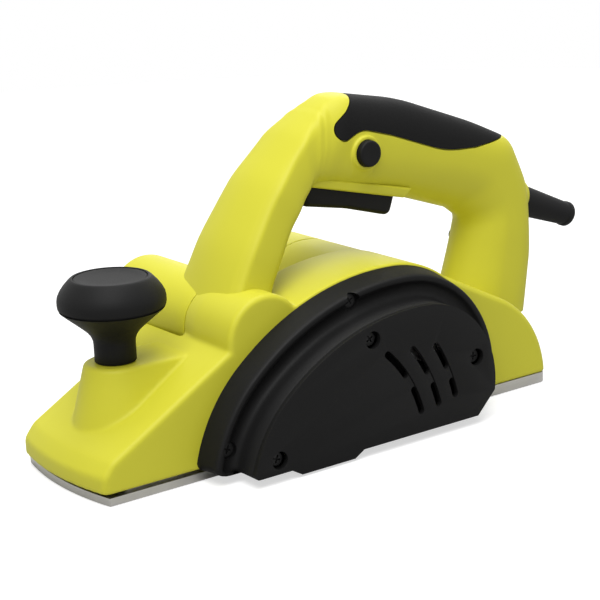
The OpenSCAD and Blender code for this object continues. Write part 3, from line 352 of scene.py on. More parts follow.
def guard_outline(d, z=GUARD_Z, heel=7, belly=(), toe=(2.4, 2.5)):
    """Outline moved inwards by d, with a slanted heel and a toe rounded off over a height and a length."""
    a, b = heading(GUARD_TOP, GUARD_REAR), heading(GUARD_TOP, GUARD_FRONT)
    rear_r, front_r = GUARD_REAR_R - d, GUARD_FRONT_R - d
    low = math.degrees(math.asin((z + heel - GUARD_REAR[1]) / rear_r))
    tip = 180 - math.degrees(math.asin((z + toe[0] - GUARD_FRONT[1]) / front_r))
    points = arc(GUARD_REAR, rear_r, low, a, 44)
    points += arc(GUARD_TOP, GUARD_TOP_R - d, a, b, 30)[1:-1]
    points += arc(GUARD_FRONT, front_r, b, tip, 44)
    x = points[-1][0]
    points += [(x + toe[1] * k * k, z + toe[0] * (1 - k) ** 2) for k in (0.2, 0.4, 0.6, 0.8, 1)]
    points += list(belly)
    points.append((on_circle(GUARD_REAR, rear_r, low)[0] - heel, z))
    return points


# Shader groups

def group(name, inputs, outputs):
    tree = bpy.data.node_groups.new(name, "ShaderNodeTree")
    for label, kind, value in inputs:
        tree.interface.new_socket(label, in_out="INPUT", socket_type=kind).default_value = value
    for label, kind in outputs:
        tree.interface.new_socket(label, in_out="OUTPUT", socket_type=kind)
    return tree, tree.nodes.new("NodeGroupInput"), tree.nodes.new("NodeGroupOutput")


def node(tree, kind, **settings):
    made = tree.nodes.new(kind)
    for name, value in settings.items():
        setattr(made, name, value)
    return made


def math_node(tree, operation, a, b=None):
    made = node(tree, "ShaderNodeMath", operation=operation)
    for socket, value in zip(made.inputs, (a, b)):
        if isinstance(value, bpy.types.NodeSocket):
            tree.links.new(value, socket)
        elif value is not None:
            socket.default_value = value
    return made.outputs[0]


def noise(tree, scale, detail=3.0, stretch=None):
    """Noise on Object coordinates, with scale in cells per metre."""
    place = node(tree, "ShaderNodeTexCoord").outputs["Object"]
    if stretch:
        turn = node(tree, "ShaderNodeMapping")
        turn.inputs["Scale"].default_value = stretch
        tree.links.new(place, turn.inputs["Vector"])
        place = turn.outputs["Vector"]
    made = node(tree, "ShaderNodeTexNoise")
    made.inputs["Detail"].default_value = detail
    if isinstance(scale, bpy.types.NodeSocket):
        tree.links.new(scale, made.inputs["Scale"])
    else:
        made.inputs["Scale"].default_value = scale
    tree.links.new(place, made.inputs["Vector"])
    return made.outputs["Fac"]


def moulded_skin():
    """Fine spark-eroded grain of a moulded skin, with faint flow marks in its colour."""
    tree, into, out = group("moulded skin", [
        ("Colour", "NodeSocketColor", (0.5, 0.5, 0.5, 1)), ("Shade", "NodeSocketColor", (0.4, 0.4, 0.4, 1)),
        ("Grain Scale", "NodeSocketFloat", 1800.0), ("Roughness", "NodeSocketFloat", 0.45),
    ], [("Colour", "NodeSocketColor"), ("Roughness", "NodeSocketFloat"), ("Height", "NodeSocketFloat")])
    grain = noise(tree, into.outputs["Grain Scale"], 2.0)
    flow = noise(tree, 22.0, 2.0)
    blend = node(tree, "ShaderNodeMix", data_type="RGBA")
    tree.links.new(math_node(tree, "MULTIPLY", flow, 0.35), blend.inputs["Factor"])
    tree.links.new(into.outputs["Colour"], blend.inputs[6])
    tree.links.new(into.outputs["Shade"], blend.inputs[7])
    tree.links.new(blend.outputs[2], out.inputs["Colour"])
    spread = math_node(tree, "MULTIPLY", math_node(tree, "SUBTRACT", grain, 0.5), 0.16)
    tree.links.new(math_node(tree, "ADD", into.outputs["Roughness"], spread), out.inputs["Roughness"])
    tree.links.new(grain, out.inputs["Height"])
    return tree


def worked_metal():
    """Tool marks along one direction, with dull patches."""
    tree, into, out = group("worked metal", [
        ("Colour", "NodeSocketColor", (0.5, 0.5, 0.5, 1)), ("Dull", "NodeSocketColor", (0.4, 0.4, 0.4, 1)),
        ("Roughness", "NodeSocketFloat", 0.35),
    ], [("Colour", "NodeSocketColor"), ("Roughness", "NodeSocketFloat"), ("Height", "NodeSocketFloat")])
    marks = noise(tree, 260.0, 4.0, stretch=(0.35, 12.0, 3.0))
    patches = noise(tree, 60.0, 3.0)
    blend = node(tree, "ShaderNodeMix", data_type="RGBA")
    tree.links.new(patches, blend.inputs["Factor"])
    tree.links.new(into.outputs["Colour"], blend.inputs[6])
    tree.links.new(into.outputs["Dull"], blend.inputs[7])
    tree.links.new(blend.outputs[2], out.inputs["Colour"])
    spread = math_node(tree, "MULTIPLY", math_node(tree, "SUBTRACT", marks, 0.5), 0.3)
    tree.links.new(math_node(tree, "ADD", into.outputs["Roughness"], spread), out.inputs["Roughness"])
    tree.links.new(marks, out.inputs["Height"])
    return tree


MOULDED = moulded_skin()
WORKED = worked_metal()


def finish_of(name, skin, values, bump, **shader):
    """Material with a shared skin group on its principled shader."""
    material = bpy.data.materials.new(name)
    material.use_nodes = True
    tree = material.node_tree
    surface = tree.nodes["Principled BSDF"]
    for socket, value in shader.items():
        surface.inputs[socket.replace("_", " ")].default_value = value
    coat = node(tree, "ShaderNodeGroup", node_tree=skin)
    for socket, value in values.items():
        coat.inputs[socket].default_value = value
    tree.links.new(coat.outputs["Colour"], surface.inputs["Base Color"])
    tree.links.new(coat.outputs["Roughness"], surface.inputs["Roughness"])
    relief = node(tree, "ShaderNodeBump")
    relief.inputs["Strength"].default_value = bump
    relief.inputs["Distance"].default_value = 0.0002
    tree.links.new(coat.outputs["Height"], relief.inputs["Height"])
    tree.links.new(relief.outputs["Normal"], surface.inputs["Normal"])
    return material


def plastic(name, colour, shade, roughness, grain, bump, **shader):
    return finish_of(name, MOULDED, {
        "Colour": (*colour, 1), "Shade": (*shade, 1), "Grain Scale": grain, "Roughness": roughness}, bump, **shader)


def metal(name, colour, dull, roughness, bump, metallic=1.0):
    return finish_of(name, WORKED, {
        "Colour": (*colour, 1), "Dull": (*dull, 1), "Roughness": roughness}, bump, Metallic=metallic)


LIME = plastic(
    "lime plastic", (0.65, 0.622, 0.042), (0.58, 0.552, 0.034), 0.48, 1500.0, 0.12, Specular_IOR_Level=0.25)
BLACK = plastic(
    "black moulded plastic", (0.0085, 0.0085, 0.0085), (0.006, 0.006, 0.006), 0.5, 1700.0, 0.35,
    Specular_IOR_Level=0.13)
KNOB_BLACK = plastic(
    "knob plastic", (0.008, 0.008, 0.008), (0.006, 0.006, 0.006), 0.55, 1400.0, 0.3, Specular_IOR_Level=0.13)
PAD = plastic(
    "soft grip", (0.008, 0.008, 0.008), (0.006, 0.006, 0.006), 0.72, 1100.0, 0.5, Specular_IOR_Level=0.12)
RUBBER = plastic(
    "boot rubber", (0.009, 0.009, 0.0095), (0.007, 0.007, 0.007), 0.6, 1300.0, 0.3, Specular_IOR_Level=0.15)
CARBON = plastic("pressed carbon", (0.03, 0.03, 0.035), (0.02, 0.02, 0.022), 0.6, 900.0, 0.4)
CASE = plastic("capacitor case", (0.5, 0.4, 0.05), (0.42, 0.33, 0.04), 0.3, 1500.0, 0.1)
ALUMINIUM = metal("cast aluminium", (0.62, 0.61, 0.59), (0.46, 0.45, 0.43), 0.34, 0.25)
BRIGHT = metal("bright steel", (0.62, 0.62, 0.63), (0.5, 0.5, 0.51), 0.25, 0.15)
DARK_STEEL = metal("black steel", (0.004, 0.004, 0.004), (0.003, 0.003, 0.003), 0.65, 0.2, 0.12)
SHEETS = metal("lamination steel", (0.34, 0.34, 0.35), (0.24, 0.24, 0.25), 0.45, 0.3)
COPPER = metal("copper wire", (0.66, 0.29, 0.14), (0.5, 0.2, 0.09), 0.35, 0.4)
BRASS = metal("turned brass", (0.66, 0.48, 0.18), (0.5, 0.35, 0.12), 0.3, 0.2)

SLOT_FINISH = {
    "lime_shell": LIME, "black_plastic": BLACK, "grip_rubber": PAD, "black_rubber": RUBBER,
    "cast_aluminium": ALUMINIUM, "black_steel": DARK_STEEL, "bright_steel": BRIGHT,
    "lamination_steel": SHEETS, "copper_wire": COPPER, "yellow_brass": BRASS, "carbon": CARBON,
    "capacitor_case": CASE,
}
for part in frame["record"]["subparts"]:
    shown = frame["nodes"][part["node"]]
    shown.data.materials.clear()
    shown.data.materials.append(SLOT_FINISH[part["material_slot"]])


# Housing

def nose():
    corners = [(-7.6, -2, 0.5), (150, -2, 0.5), (150, 61.5, 0.5), (72, 61.5, 3), (-2, 21.3, 10), (-7.6, 14.3, 6)]
    ends = edge_round(2.4)
    steps = [(SIDE - d, e) for d, e in ends] + [(y, 0) for y in range(33, -34, -3)]
    steps += [(-SIDE + d, e) for d, e in reversed(ends)]
    rings = []
    for y, e in steps:
        bow = BOW_R - math.sqrt(BOW_R ** 2 - y * y)
        outline = rounded(inset(corners, e), 10)
        rings.append([at(x + bow * min(1, max(0, (60 - x) / 50)), y, z) for x, z in outline])
    return loft("housing", rings)


def knob_boss():
    rings = []
    rim = [(PAD_Z - d, e) for d, e in edge_round(1.6, 4)]
    for z, e in [(0, 0), (20, 0), (40, 0)] + rim[::-1]:
        r = 16 + (PAD_Z - z) * 0.26 - e
        plan = [(KNOB_X + r * math.cos(a), r * math.sin(a))
                for a in [math.pi / 2 + math.pi * i / 40 for i in range(41)]]
        plan += [(84, -r), (84, r)]
        rings.append([at(x, y, z) for x, y in plan])
    return loft("knob_boss", rings)


def haunch():
    corners = [(178, -58, 0.5), (BASE_L, -58, 0.5), (BASE_L, 38.3, 58), (195, 83.3, 0.5)]
    rings = []
    for side, ends in ((1, edge_round(3.5)), (-1, edge_round(3.5)[::-1])):
        for d, e in ends:
            rings.append([at(x, side * (SIDE - d), z) for x, z in rounded(inset(corners, e), 40)])
    return loft("haunch", rings)


def near_block():
    rings = [[at(x, -SIDE, z) for x, z in guard_outline(-0.6, -2, 0)],
             [at(x, -SIDE + 0.5, z) for x, z in guard_outline(-1, -2, 0)]]
    for d, e in reversed(edge_round(3)):
        rings.append([at(x, 4 - d, z) for x, z in guard_outline(-1 + e, -2, 0)])
    return loft("near_block", rings)


def duct_body():
    """Duct that narrows towards the outlet's seam and runs past it, to where the outlet's seat is cut."""
    left = [(DUCT_R - e, -SIDE + d) for d, e in edge_round(2.6)]
    right = [
        (DUCT_R, -14), (DUCT_R - 0.1, -8), (DUCT_R - 0.4, -5), (GROOVE_R + 0.4, -1), (GROOVE_R, 2), (GROOVE_R, 6),
        (0, 6)]
    return turned("duct", [(0, -SIDE)] + left + right, middle_of(DUCT), ALONG_Y, 96)


def ear_places():
    return [on_circle(MOTOR, EAR_CIRCLE_R, a) for a in (25, 155, 205, 335)]


def upright(name, radius, height, z, sides):
    """Plain cylinder about the knob's axis, centred at z."""
    fresh()
    bpy.ops.mesh.primitive_cylinder_add(
        vertices=sides, radius=radius / 1000, depth=height / 1000, location=at(KNOB_X, 0, z))
    bpy.ops.object.transform_apply(location=True)
    return named(name)


def housing():
    body = nose()
    join_on(body, knob_boss())
    join_on(body, haunch())
    join_on(body, near_block())
    join_on(body, duct_body())
    join_on(body, drum("barrel", BARREL_R, 0, SIDE, MOTOR))
    skirt = block("skirt", (140, -SIDE, -2), (216.3, SIDE, 49))
    soften_edges(skirt, 2)
    join_on(body, skirt)
    for place in ear_places():
        join_on(body, drum("ear", EAR_R, SIDE - 12, SIDE, place, 32))
    for cutter in (
        prism("nose_room", [(1.4, 0.7), (64.8, 0.7), (64.8, 52.8), (1.4, 19.2)], -36.2, 36.2),
        drum("chamber", 25.5, -SIDE - 1, SIDE + 1, DRUM),
        block("mouth", (88.3, -SIDE - 1, 0), (138.1, SIDE + 1, 18)),
        block("wall_slot", (138.1, -SIDE - 1, 0), (142.1, SIDE + 1, 26)),
        drum("motor_room", 33.8, -SIDE - 1, SIDE + 1, MOTOR),
        drum("outlet_seat", 23.4, DUCT_SEAM, SIDE + 1, DUCT),
        block("throat", (86.5, -36, 38.2), (106.5, 8, 64)),
        drum("duct_bore", 14, -SIDE + 4, SIDE, DUCT),
    ):
        carve(body, cutter)
    carve(body, upright("boss_room", 10.2, 30.6, 16.5, 64))
    carve(body, upright("spindle_bore", 5.1, 70, 30, 48))
    carve(body, block("below", (-60, -90, -200), (360, 90, SOLE_T)))
    mould(body, voxel=0.95, passes=4, faces=190000)
    fit(body, "planer", "lime_shell", LIME, "main_housing", angle=60)


# Handle: a tube lofted along the arm, the grip and the post

OUTER = Path(rounded_path([
    (77.6, 64, 1), (98, 103.2, 150), (115.2, 129.4, 150), (141, 158.6, 120), (167, 175.2, 25), (212, 166.8, 120),
    (262, 148.4, 150), (286.5, 137, 14), (298, 108, 40), (299, 70, 60), (294, 36, 1)], 14))
INNER = Path(rounded_path([
    (107, 58, 1), (113, 82, 60), (127, 109.5, 60), (144, 130.5, 5), (203, 116, 40), (247, 101, 10), (259.5, 92, 8),
    (239, 36, 1)], 14))
STATIONS = [
    # outer point, inner point, half width, half width at the front, crown of the front,
    # squareness of the outer and inner sides
    ((77.6, 64), (107, 58), 28.4, 28.4, 3.5, 12, 3.5),
    ((98, 100), (116, 88), 26, 26, 6, 14, 4),
    ((118, 129.4), (131.5, 115), 23.6, 23.4, 5.2, 13, 4.5),
    ((138, 151.6), (139, 124.5), 21.2, 19.4, 3, 11, 4.5),
    ((150.8, 163.6), (143, 128.6), 20.3, 15.2, 1.6, 9, 4.2),
    ((156, 167.4), (146, 130), 20, 12.8, 1, 7.5, 4),
    ((161, 170.2), (149, 129.4), 19.8, 11.5, 0.6, 6, 3.8),
    ((178, 173), (158, 127), 19.3, 18.3, 0, 2.8, 3.2),
    ((212, 166), (203, 116), 19.5, 19.5, 0, 2.5, 2.3),
    ((256, 150.4), (232, 106), 20, 20, 0, 2.7, 1.85),
    ((283, 138), (249, 100), 20, 20, 0, 3.2, 1.75),
    ((296, 113), (257.5, 94), 20, 20, 0, 3.8, 1.75),
    ((298.5, 80), (254, 77), 20.5, 20.5, 0, 4.2, 1.75),
    ((294, 36), (239, 36), 21, 21, 0, 4.2, 1.75),
]


def station(t):
    """Outer point, inner point, half widths, crown and squareness at t along the handle, counted in stations."""
    i = min(int(t), len(STATIONS) - 2)
    k = t - i
    a, b = STATIONS[i], STATIONS[i + 1]
    outer = OUTER.point(OUTER.nearest(a[0]) * (1 - k) + OUTER.nearest(b[0]) * k)
    inner = INNER.point(INNER.nearest(a[1]) * (1 - k) + INNER.nearest(b[1]) * k)
    keys = [[(j, s[m]) for j, s in enumerate(STATIONS)] for m in (2, 3, 4, 5, 6)]
    return outer, inner, *(between(key, t) for key in keys)


def handle_form(name, grow=0.0, points=56, spacing=14):
    """Tube through the stations, with a crowned front on the arm; grow swells or shrinks it."""
    rings = []
    count = (len(STATIONS) - 1) * spacing
    for j in range(count + 1):
        outer, inner, half, front, crown, outer_n, inner_n = station(j / spacing)
        middle, reach = (outer + inner) / 2, (outer - inner) / 2
        way = reach.normalized()
        reach = reach + way * grow
        ring = []
        for i in range(points):
            a = 2 * math.pi * i / points
            n = outer_n if math.cos(a) >= 0 else inner_n
            u = math.copysign(abs(math.cos(a)) ** (2 / n), math.cos(a))
            v = math.copysign(abs(math.sin(a)) ** (2 / n), math.sin(a))
            spot = middle + reach * u + way * crown * max(0, u) * (1 - v * v)
            width = half + (front - half) * max(0, u) ** 1.5
            ring.append(at(spot.x, v * (width + grow), spot.y))
        rings.append(ring)
    return loft(name, rings)


def button_boss():
    return turned("button_boss", [
        (0, -20.6), (8.2, -20.6), (8.7, -20.4), (9, -20), (9.4, -19.4), (10.2, -18.8), (12, -18), (14, -16.5),
        (0, -10)], middle_of(BUTTON), ALONG_Y)


def boot_axis():
    return Vector((math.cos(BOOT_TILT), 0, -math.sin(BOOT_TILT)))


def boot_collar():
    end = [(11.6 - e, 11 - d) for d, e in edge_round(3, 5)]
    return turned("boot_collar", [(0, -14), (14.5, -14), (13.4, -4), (12.6, 0), (12, 4)] + end[::-1] + [(0, 11)],
                  middle_of(BOOT), boot_axis())


GRIP_CORNERS = [
    (163.5, 150.8, 5), (175, 156.5, 14), (196, 150.5, 40), (232, 137.5, 60), (254, 136.5, 30), (292, 139.5, 1),
    (292, 197, 1), (186, 197, 1), (176.5, 174, 6), (167, 165.5, 10), (159, 160, 5), (158, 155.5, 4)]
HANDLE_SCREWS = [(106.5, 104.5), (151, 155), (225, 131), (266, 80)]


def trigger_lip(side):
    """Low ledge along one side of the trigger's slot."""
    ends = sorted((side * 15.5, side * 9))
    lip = prism("lip", [(143, 129.8), (206, 114.6), (211.5, 119.2), (147.5, 133.8)], *ends)
    soften_edges(lip, 1.2, 30, 3)
    return lip


def handle():
    shell = handle_form("handle_left")
    join_on(shell, button_boss())
    join_on(shell, boot_collar())
    for side in (-1, 1):
        join_on(shell, trigger_lip(side))
    carve(shell, block("arm_end", (55, -40, 30), (92, 40, 77)))
    carve(shell, drum("button_well", 7.3, -30, -8, BUTTON, 64))
    carve(shell, block("trigger_slot", (141, -12.4, 95), (204.5, 12.4, 141)))
    # The pad's seat is cut a little wider and deeper than the pad, which leaves a groove around it
    seat = prism("pad_seat", rounded(inset(GRIP_CORNERS, -0.7), 8), -40, 40)
    carve(seat, handle_form("core", -1.6))
    carve(shell, seat)
    cover = copy_of(shell, "handle_right")
    trim(shell, at(0, HANDLE_SEAM - 0.01, 0), (0, 1, 0))
    trim(cover, at(0, HANDLE_SEAM + 0.01, 0), (0, -1, 0))
    for place in HANDLE_SCREWS:
        carve(cover, drum("screw_well", 4.3, 14.4, 40, place, 40))
    fit(shell, "planer", "lime_shell", LIME, "handle_shell", angle=40)
    fit(cover, "planer", "lime_shell", LIME, "handle_cover", angle=40)
    pad = handle_form("soft_grip")
    carve(pad, prism("pad_area", rounded(GRIP_CORNERS, 8), -40, 40), "INTERSECT")
    carve(pad, handle_form("core", -3))
    fit(pad, "planer", "grip_rubber", PAD, "grip_pad", angle=40)


# Belt guard

FRAME_SCREWS = [(60.6, 16.8), (138.4, 77.2)]
COVER_SCREWS = [(78.9, 11.6), (138.5, 60.4), (207.2, 37.1)]
VENT_AT = (97, -4)
VENTS = [
    # radius, ends of the upper slot and ends of the lower slot in degrees
    (74.6, (34.1, 47.3), (15.8, 25.9)), (86.3, (28.3, 38.8), (14.7, 21.8)), (98, (24.8, 32.6), (14.4, 18.9))]


def belt_frame():
    """Band with a raised crest, a channel inside it and the wall around the panel."""
    section = [
        # distance in from the outline, and y
        (0.2, -41), (0.7, -43), (2.4, -52.2), (2.8, -53.8), (3.3, -54.7), (3.9, -55), (5.6, -55), (6.2, -54.8),
        (6.7, -54.2), (7.8, -53), (9.4, -52.4), (11.6, -52.3), (13.4, -52.7), (14.6, -53.8), (15.2, -55.4),
        (15.5, -58), (15.5, -66.4), (15.9, -66.9), (18, -66.9)]
    rings = []
    for d, y in section:
        outline = guard_outline(d, heel=7 + d / 3, belly=BELLY, toe=(5 - d / 6, 8.5 - 0.39 * d))
        rings.append([at(x, y, z) for x, z in outline])
    inner = [(x, z + 2.5) for x, z in BELLY]
    rings += [[at(x, y, z) for x, z in guard_outline(18, 7, 12, inner)] for y in (-66.8, -43.5)]
    frame_piece = loft("guard_band", rings)
    for place in FRAME_SCREWS:
        carve(frame_piece, drum("screw_well", GUARD_WELL_R, -60, -50.8, place, 48))
    fit(frame_piece, "planer", "black_plastic", BLACK, "belt_frame", angle=40)


def slot_outline(r, low, high, half):
    """Slot with round ends along an arc about VENT_AT."""
    ends = [on_circle(VENT_AT, r, a) for a in (low, high)]
    return (arc(VENT_AT, r + half, low, high, 12) + arc(ends[1], half, high, high + 180, 8)[1:-1]
            + arc(VENT_AT, r - half, high, low, 12) + arc(ends[0], half, low + 180, low + 360, 8)[1:-1])


def belt_cover():
    plate = prism("guard_panel", guard_outline(15.5, heel=12, belly=BELLY), -67.1, -70)
    for r, upper, lower in VENTS:
        for low, high in (upper, lower):
            carve(plate, prism("vent", slot_outline(r, low, high, 1.95), -80, -60))
        carve(plate, prism("groove", slot_outline(r + 1.5, lower[1], upper[0], 0.4), -80, -69.3))
    for place in COVER_SCREWS:
        carve(plate, drum("screw_well", GUARD_WELL_R, -80, -66.4, place, 48))
    soften_edges(plate, 0.6, 35)
    fit(plate, "planer", "black_plastic", BLACK, "belt_cover", angle=40)


# Screws: one cross-head modelled once and copied

def cross_head(name, radius, height):
    rim = [(radius - 0.5, 0), (radius - 0.15, 0.15), (radius, 0.5)]
    head = turned(name, [(0, 0)] + rim + [(radius, height), (0, height)], Vector((0, 0, 0)), ALONG_Z, 40)
    for turn in (0, math.pi / 2):
        fresh()
        bpy.ops.mesh.primitive_cube_add(size=1, rotation=(0, 0, turn))
        bpy.context.object.scale = (radius * 1.25 / 1000, 0.0009, 0.0026)
        bpy.ops.object.transform_apply(location=True, rotation=True, scale=True)
        carve(head, named("slot"))
    return head


def screws(name, places, face, way, node_name, slot, material):
    """Heads along Y at the places, with their faces at y, joined into one piece."""
    first = None
    for i, (x, z) in enumerate(places):
        head = copy_of(HEAD, name)
        turn = Matrix.Rotation(-way * math.pi / 2, 4, "X") @ Matrix.Rotation(math.radians(20 + 37 * i), 4, "Z")
        head.data.transform(Matrix.Translation(at(x, face, z)) @ turn)
        if first is None:
            first = head
        else:
            pick(first)
            head.select_set(True)
            bpy.ops.object.join()
    first.name = name
    fit(first, "planer", slot, material, node_name, angle=30)


# Knob, button, trigger and boot

def knob():
    origin = at(KNOB_X, 0, PAD_Z + 0.4)
    stem = [(0, 0), (10.2, 0), (10.5, 0.4), (10.5, 9), (10.7, 11), (11.5, 13.2), (13.2, 15.6), (16, 18.2)]
    groove = [(20, 21.6), (23.6, 24.6), (25.8, 26.5), (26.3, 27), (25.5, 27.3), (25.5, 28), (26.8, 28.3)]
    crown = [(27, 29.7), (27, 32), (26.6, 34), (25.4, 36.4), (23.6, 38.9), (21.6, 41.1), (20.6, 42.1)]
    recess = [(19.8, 42.7), (19, 42.9), (18.5, 42.7), (18.5, 40.9), (0, 40.9)]
    body = turned("knob_body", stem + groove + crown + recess, origin, ALONG_Z, 96)
    fit(body, "knob", "black_plastic", KNOB_BLACK, "depth_knob", angle=40)
    cap = turned("knob_top", [
        (0, 40.8), (18.3, 40.8), (18.3, 42.2), (18, 42.5), (17.4, 42.5), (15, 42.1), (10, 41.8), (0, 41.7)],
        origin, ALONG_Z, 96)
    fit(cap, "knob", "black_plastic", KNOB_BLACK, "knob_cap", angle=40)


def lock_button():
    button = turned("lock_on_button", [
        (0, -23.7), (4, -23.8), (5.8, -24), (6.4, -23.9), (6.8, -23.5), (7, -23), (7, -15.5), (8.4, -15.2),
        (8.4, -14.5), (0, -14.5)], middle_of(BUTTON), ALONG_Y, 64)
    fit(button, "lock", "black_plastic", BLACK, "lock_button", angle=40)


def trigger():
    corners = [(142, 119, 3), (170, 113.6, 60), (198.5, 105.4, 4), (202.5, 117, 2), (202.5, 123, 2), (148, 137, 2),
               (144, 134, 1)]
    ends = edge_round(3, 5)
    rings = [[at(x, -12 + d, z) for x, z in rounded(inset(corners, e * 0.9), 8)] for d, e in ends]
    rings += [[at(x, 12 - d, z) for x, z in rounded(inset(corners, e * 0.9), 8)] for d, e in reversed(ends)]
    piece = loft("trigger_lever", rings)
    fit(piece, "trigger", "black_plastic", BLACK, "trigger", angle=40)


def trigger_pin():
    pin = turned("trigger_pivot", [(0, -13.6), (1.6, -13.6), (2, -13.2), (2, 13.2), (1.6, 13.6), (0, 13.6)],
                 middle_of(TRIGGER_PIN), ALONG_Y, 32)
    fit(pin, "planer", "bright_steel", BRIGHT, "trigger_pin", angle=30)


def cord_boot():
    piece = turned("boot_sleeve", [
        (3.6, 2), (8.6, 2), (8.6, 10.6), (8.9, 11), (9, 12), (6.9, 49.6), (7, 50), (7.3, 50.3), (7.4, 51), (7.4, 53),
        (7, 53.7), (6.3, 54), (4.2, 54), (3.6, 53.4)], middle_of(BOOT), boot_axis(), 64)
    fit(piece, "planer", "black_rubber", RUBBER, "cord_boot", angle=40)


# Right side

def chip_outlet():
    flare = [
        (21.1, DUCT_SEAM), (21.4, DUCT_SEAM + 0.4), (22, 11), (22.7, 20), (23.1, 29), (OUTLET_R, 36), (OUTLET_R, 66),
        (OUTLET_R, 66.5)]
    lip = [(OUTLET_R - e, OUTLET_REACH - d) for d, e in edge_round(1.4, 4)]
    mouth = [(19, OUTLET_REACH), (18, OUTLET_REACH - 0.5), (17.5, OUTLET_REACH - 2)]
    tube = turned("outlet_tube", [(17.5, DUCT_SEAM)] + flare + lip[::-1] + mouth, middle_of(DUCT), ALONG_Y, 96)
    carve(tube, drum("drum_relief", 24.8, 0, SIDE + 0.3, DRUM))
    fit(tube, "planer", "lime_shell", LIME, "chip_outlet", angle=40)


def motor_end_cap():
    cap = turned("motor_cap", [
        (CAP_BORE_R, SIDE), (BARREL_R - 0.3, SIDE), (BARREL_R, SIDE + 0.4), (BARREL_R, PLATE_Y - 0.4),
        (BARREL_R - 0.4, PLATE_Y), (CAP_BORE_R, PLATE_Y)], middle_of(MOTOR), ALONG_Y, 96)
    for place in ear_places():
        post = drum("ear", EAR_R, SIDE + 0.1, PLATE_Y - 0.1, place, 40)
        soften_edges(post, 1, 40)
        join_on(cap, post)
    fit(cap, "planer", "lime_shell", LIME, "motor_end_cap", angle=30)
    edge = [(BARREL_R - e, BARREL_REACH - d) for d, e in edge_round(4, 6)]
    plate = turned("vent_plate", [(0, PLATE_Y + 0.1), (BARREL_R - 0.3, PLATE_Y + 0.1), (BARREL_R, PLATE_Y + 0.4)]
                   + edge[::-1] + [(0, BARREL_REACH)], middle_of(MOTOR), ALONG_Y, 96)
    for i in range(-3, 4):
        for z in (MOTOR[1] + 15.5, MOTOR[1] - 25.5):
            x = MOTOR[0] + i * 6.5
            carve(plate, block("vent", (x - 1.5, PLATE_Y - 1, z), (x + 1.5, BARREL_REACH + 3, z + 10)))
    for place in ear_places():
        carve(plate, drum("screw_well", 3.6, BARREL_REACH - 2.7, BARREL_REACH + 2, place, 40))
    fit(plate, "planer", "black_plastic", BLACK, angle=30)


# Springs

def coil(name, radius, wire, start, end, turns):
    """Round wire wound from start to end."""
    way = end - start
    fresh()
    bpy.ops.mesh.primitive_circle_add(
        vertices=10, radius=wire, location=(radius, 0, wire), rotation=(math.pi / 2, 0, 0))
    wound = named(name)
    bpy.ops.object.transform_apply(location=True, rotation=True)
    pitch = (way.length - 2 * wire) / turns
    modify(wound, "SCREW", axis="Z", angle=2 * math.pi, screw_offset=pitch, iterations=turns,
           steps=24, render_steps=24)
    pick(wound)
    bpy.ops.object.mode_set(mode="EDIT")
    bpy.ops.mesh.select_all(action="SELECT")
    bpy.ops.mesh.remove_doubles(threshold=1e-6)
    bpy.ops.mesh.fill_holes(sides=0)
    bpy.ops.mesh.select_all(action="SELECT")
    bpy.ops.mesh.normals_make_consistent(inside=False)
    bpy.ops.object.mode_set(mode="OBJECT")
    wound.data.transform(Matrix.Translation(start) @ way.to_track_quat("Z", "Y").to_matrix().to_4x4())
    return wound


def spring_piece(name, node_name, axis, offsets, wire, turns):
    """Coils that fill the node's box along the axis, with the wire given in metres."""
    low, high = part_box(node_name)
    middle = (low + high) / 2
    half = (high.x - low.x) / 2
    coils = []
    for offset in offsets:
        start, end = middle.copy(), middle.copy()
        start[axis], end[axis] = low[axis], high[axis]
        if offset:
            start.y = end.y = middle.y + offset * ((high.y - low.y) / 2 - half)
        coils.append(coil(name, half - wire, wire, start, end, turns))
    pick(coils[0])
    for other in coils[1:]:
        other.select_set(True)
    if len(coils) > 1:
        bpy.ops.object.join()
    fit(coils[0], "planer", "bright_steel", BRIGHT, node_name, angle=40)
    way = Vector((0, 0, 0))
    way[axis] = 1
    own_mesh(coils[0])


def springs():
    spring_piece("return_springs", "shoe_springs", axis=2, offsets=(-1, 1), wire=0.0008, turns=5)
    spring_piece("button_spring", "lock_spring", axis=1, offsets=(0,), wire=0.0005, turns=4)
    spring_piece("lever_spring", "trigger_spring", axis=2, offsets=(0,), wire=0.0005, turns=5)


housing()
handle()
belt_frame()
belt_cover()
HEAD = cross_head("screw_head", 3.6, 2.2)
screws("panel_screw_heads", COVER_SCREWS, -67, 1, "cover_screws", "black_steel", DARK_STEEL)
screws("band_screw_heads", FRAME_SCREWS, -51.4, 1, "frame_screws", "black_steel", DARK_STEEL)
screws("handle_screw_heads", HANDLE_SCREWS, 15.2, -1, "handle_screws", "black_steel", DARK_STEEL)
bpy.data.objects.remove(HEAD)
knob()
lock_button()
trigger()
trigger_pin()
cord_boot()
chip_outlet()
motor_end_cap()
springs()


# Camera, floor and light

def camera():
    azimuth, elevation, roll = math.radians(-35.64), math.radians(15.09), math.radians(-2.31)
    aim, distance = at(144.77, 0, 66.42), 0.9048
    level = math.cos(elevation)
    back = Vector((math.sin(azimuth) * level, -math.cos(azimuth) * level, math.sin(elevation)))
    right = Vector((math.cos(azimuth), math.sin(azimuth), 0))
    up = back.cross(right)
    right, up = right * math.cos(roll) + up * math.sin(roll), up * math.cos(roll) - right * math.sin(roll)
    eye = aim + back * distance
    fresh()
    bpy.ops.object.camera_add()
    made = bpy.context.object
    made.matrix_world = Matrix((
        (right.x, up.x, back.x, eye.x), (right.y, up.y, back.y, eye.y), (right.z, up.z, back.z, eye.z), (0, 0, 0, 1)))
    made.data.sensor_width = 36
    made.data.lens = 102
    bpy.context.scene.camera = made


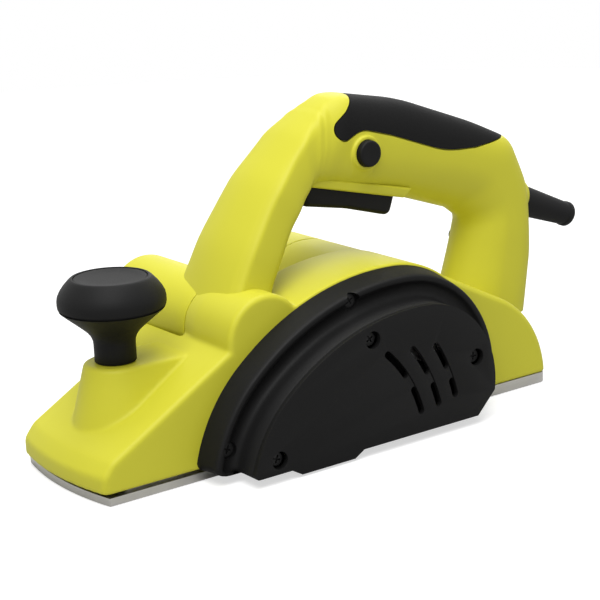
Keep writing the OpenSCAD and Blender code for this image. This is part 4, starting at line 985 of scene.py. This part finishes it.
def softbox(name, place, target, size, power):
    fresh()
    bpy.ops.object.light_add(type="AREA", location=place)
    lamp = bpy.context.object
    lamp.name = name
    lamp.data.shape = "RECTANGLE"
    lamp.data.size, lamp.data.size_y = size
    lamp.data.energy = power
    lamp.rotation_euler = (Vector(target) - Vector(place)).to_track_quat("-Z", "Y").to_euler()


def studio():
    fresh()
    bpy.ops.mesh.primitive_circle_add(vertices=128, radius=1.4, fill_type="NGON", location=(0, 0, -0.0004))
    bpy.ops.object.transform_apply(location=True)
    floor = named("studio_floor")
    paper = bpy.data.materials.new("white paper")
    paper.use_nodes = True
    surface = paper.node_tree.nodes["Principled BSDF"]
    surface.inputs["Base Color"].default_value = (0.55, 0.55, 0.55, 1)
    surface.inputs["Roughness"].default_value = 0.9
    surface.inputs["Specular IOR Level"].default_value = 0.1
    # The paper shows a little brighter to the camera, so that only the shadow reads on it
    path = node(paper.node_tree, "ShaderNodeLightPath")
    paper.node_tree.links.new(math_node(paper.node_tree, "MULTIPLY", path.outputs["Is Camera Ray"], 0.62),
                              surface.inputs["Emission Strength"])
    surface.inputs["Emission Color"].default_value = (1, 1, 1, 1)
    floor.data.materials.append(paper)
    world = bpy.data.worlds.new("studio")
    bpy.context.scene.world = world
    world.use_nodes = True
    tree = world.node_tree
    sky = tree.nodes["Background"]
    path = node(tree, "ShaderNodeLightPath")
    seen = math_node(tree, "MAXIMUM", path.outputs["Is Camera Ray"], path.outputs["Is Glossy Ray"])
    seen = math_node(tree, "MAXIMUM", seen, path.outputs["Is Transmission Ray"])
    level = math_node(tree, "ADD", math_node(tree, "MULTIPLY", seen, 0.7), 0.3)
    tree.links.new(level, sky.inputs["Strength"])
    sky.inputs["Color"].default_value = (1, 1, 1, 1)


camera()
studio()
softbox("front_box", (-0.6, -0.6, 1.4), (0, 0, 0.05), (1.0, 1.0), 18)
softbox("top_box", (0.2, 0.1, 1.6), (0, 0, 0.05), (1.2, 1.2), 13)
softbox("rear_box", (1.0, 0.9, 0.9), (0, 0, 0.05), (0.8, 0.8), 5)
bpy.context.scene.view_settings.view_transform = "Standard"
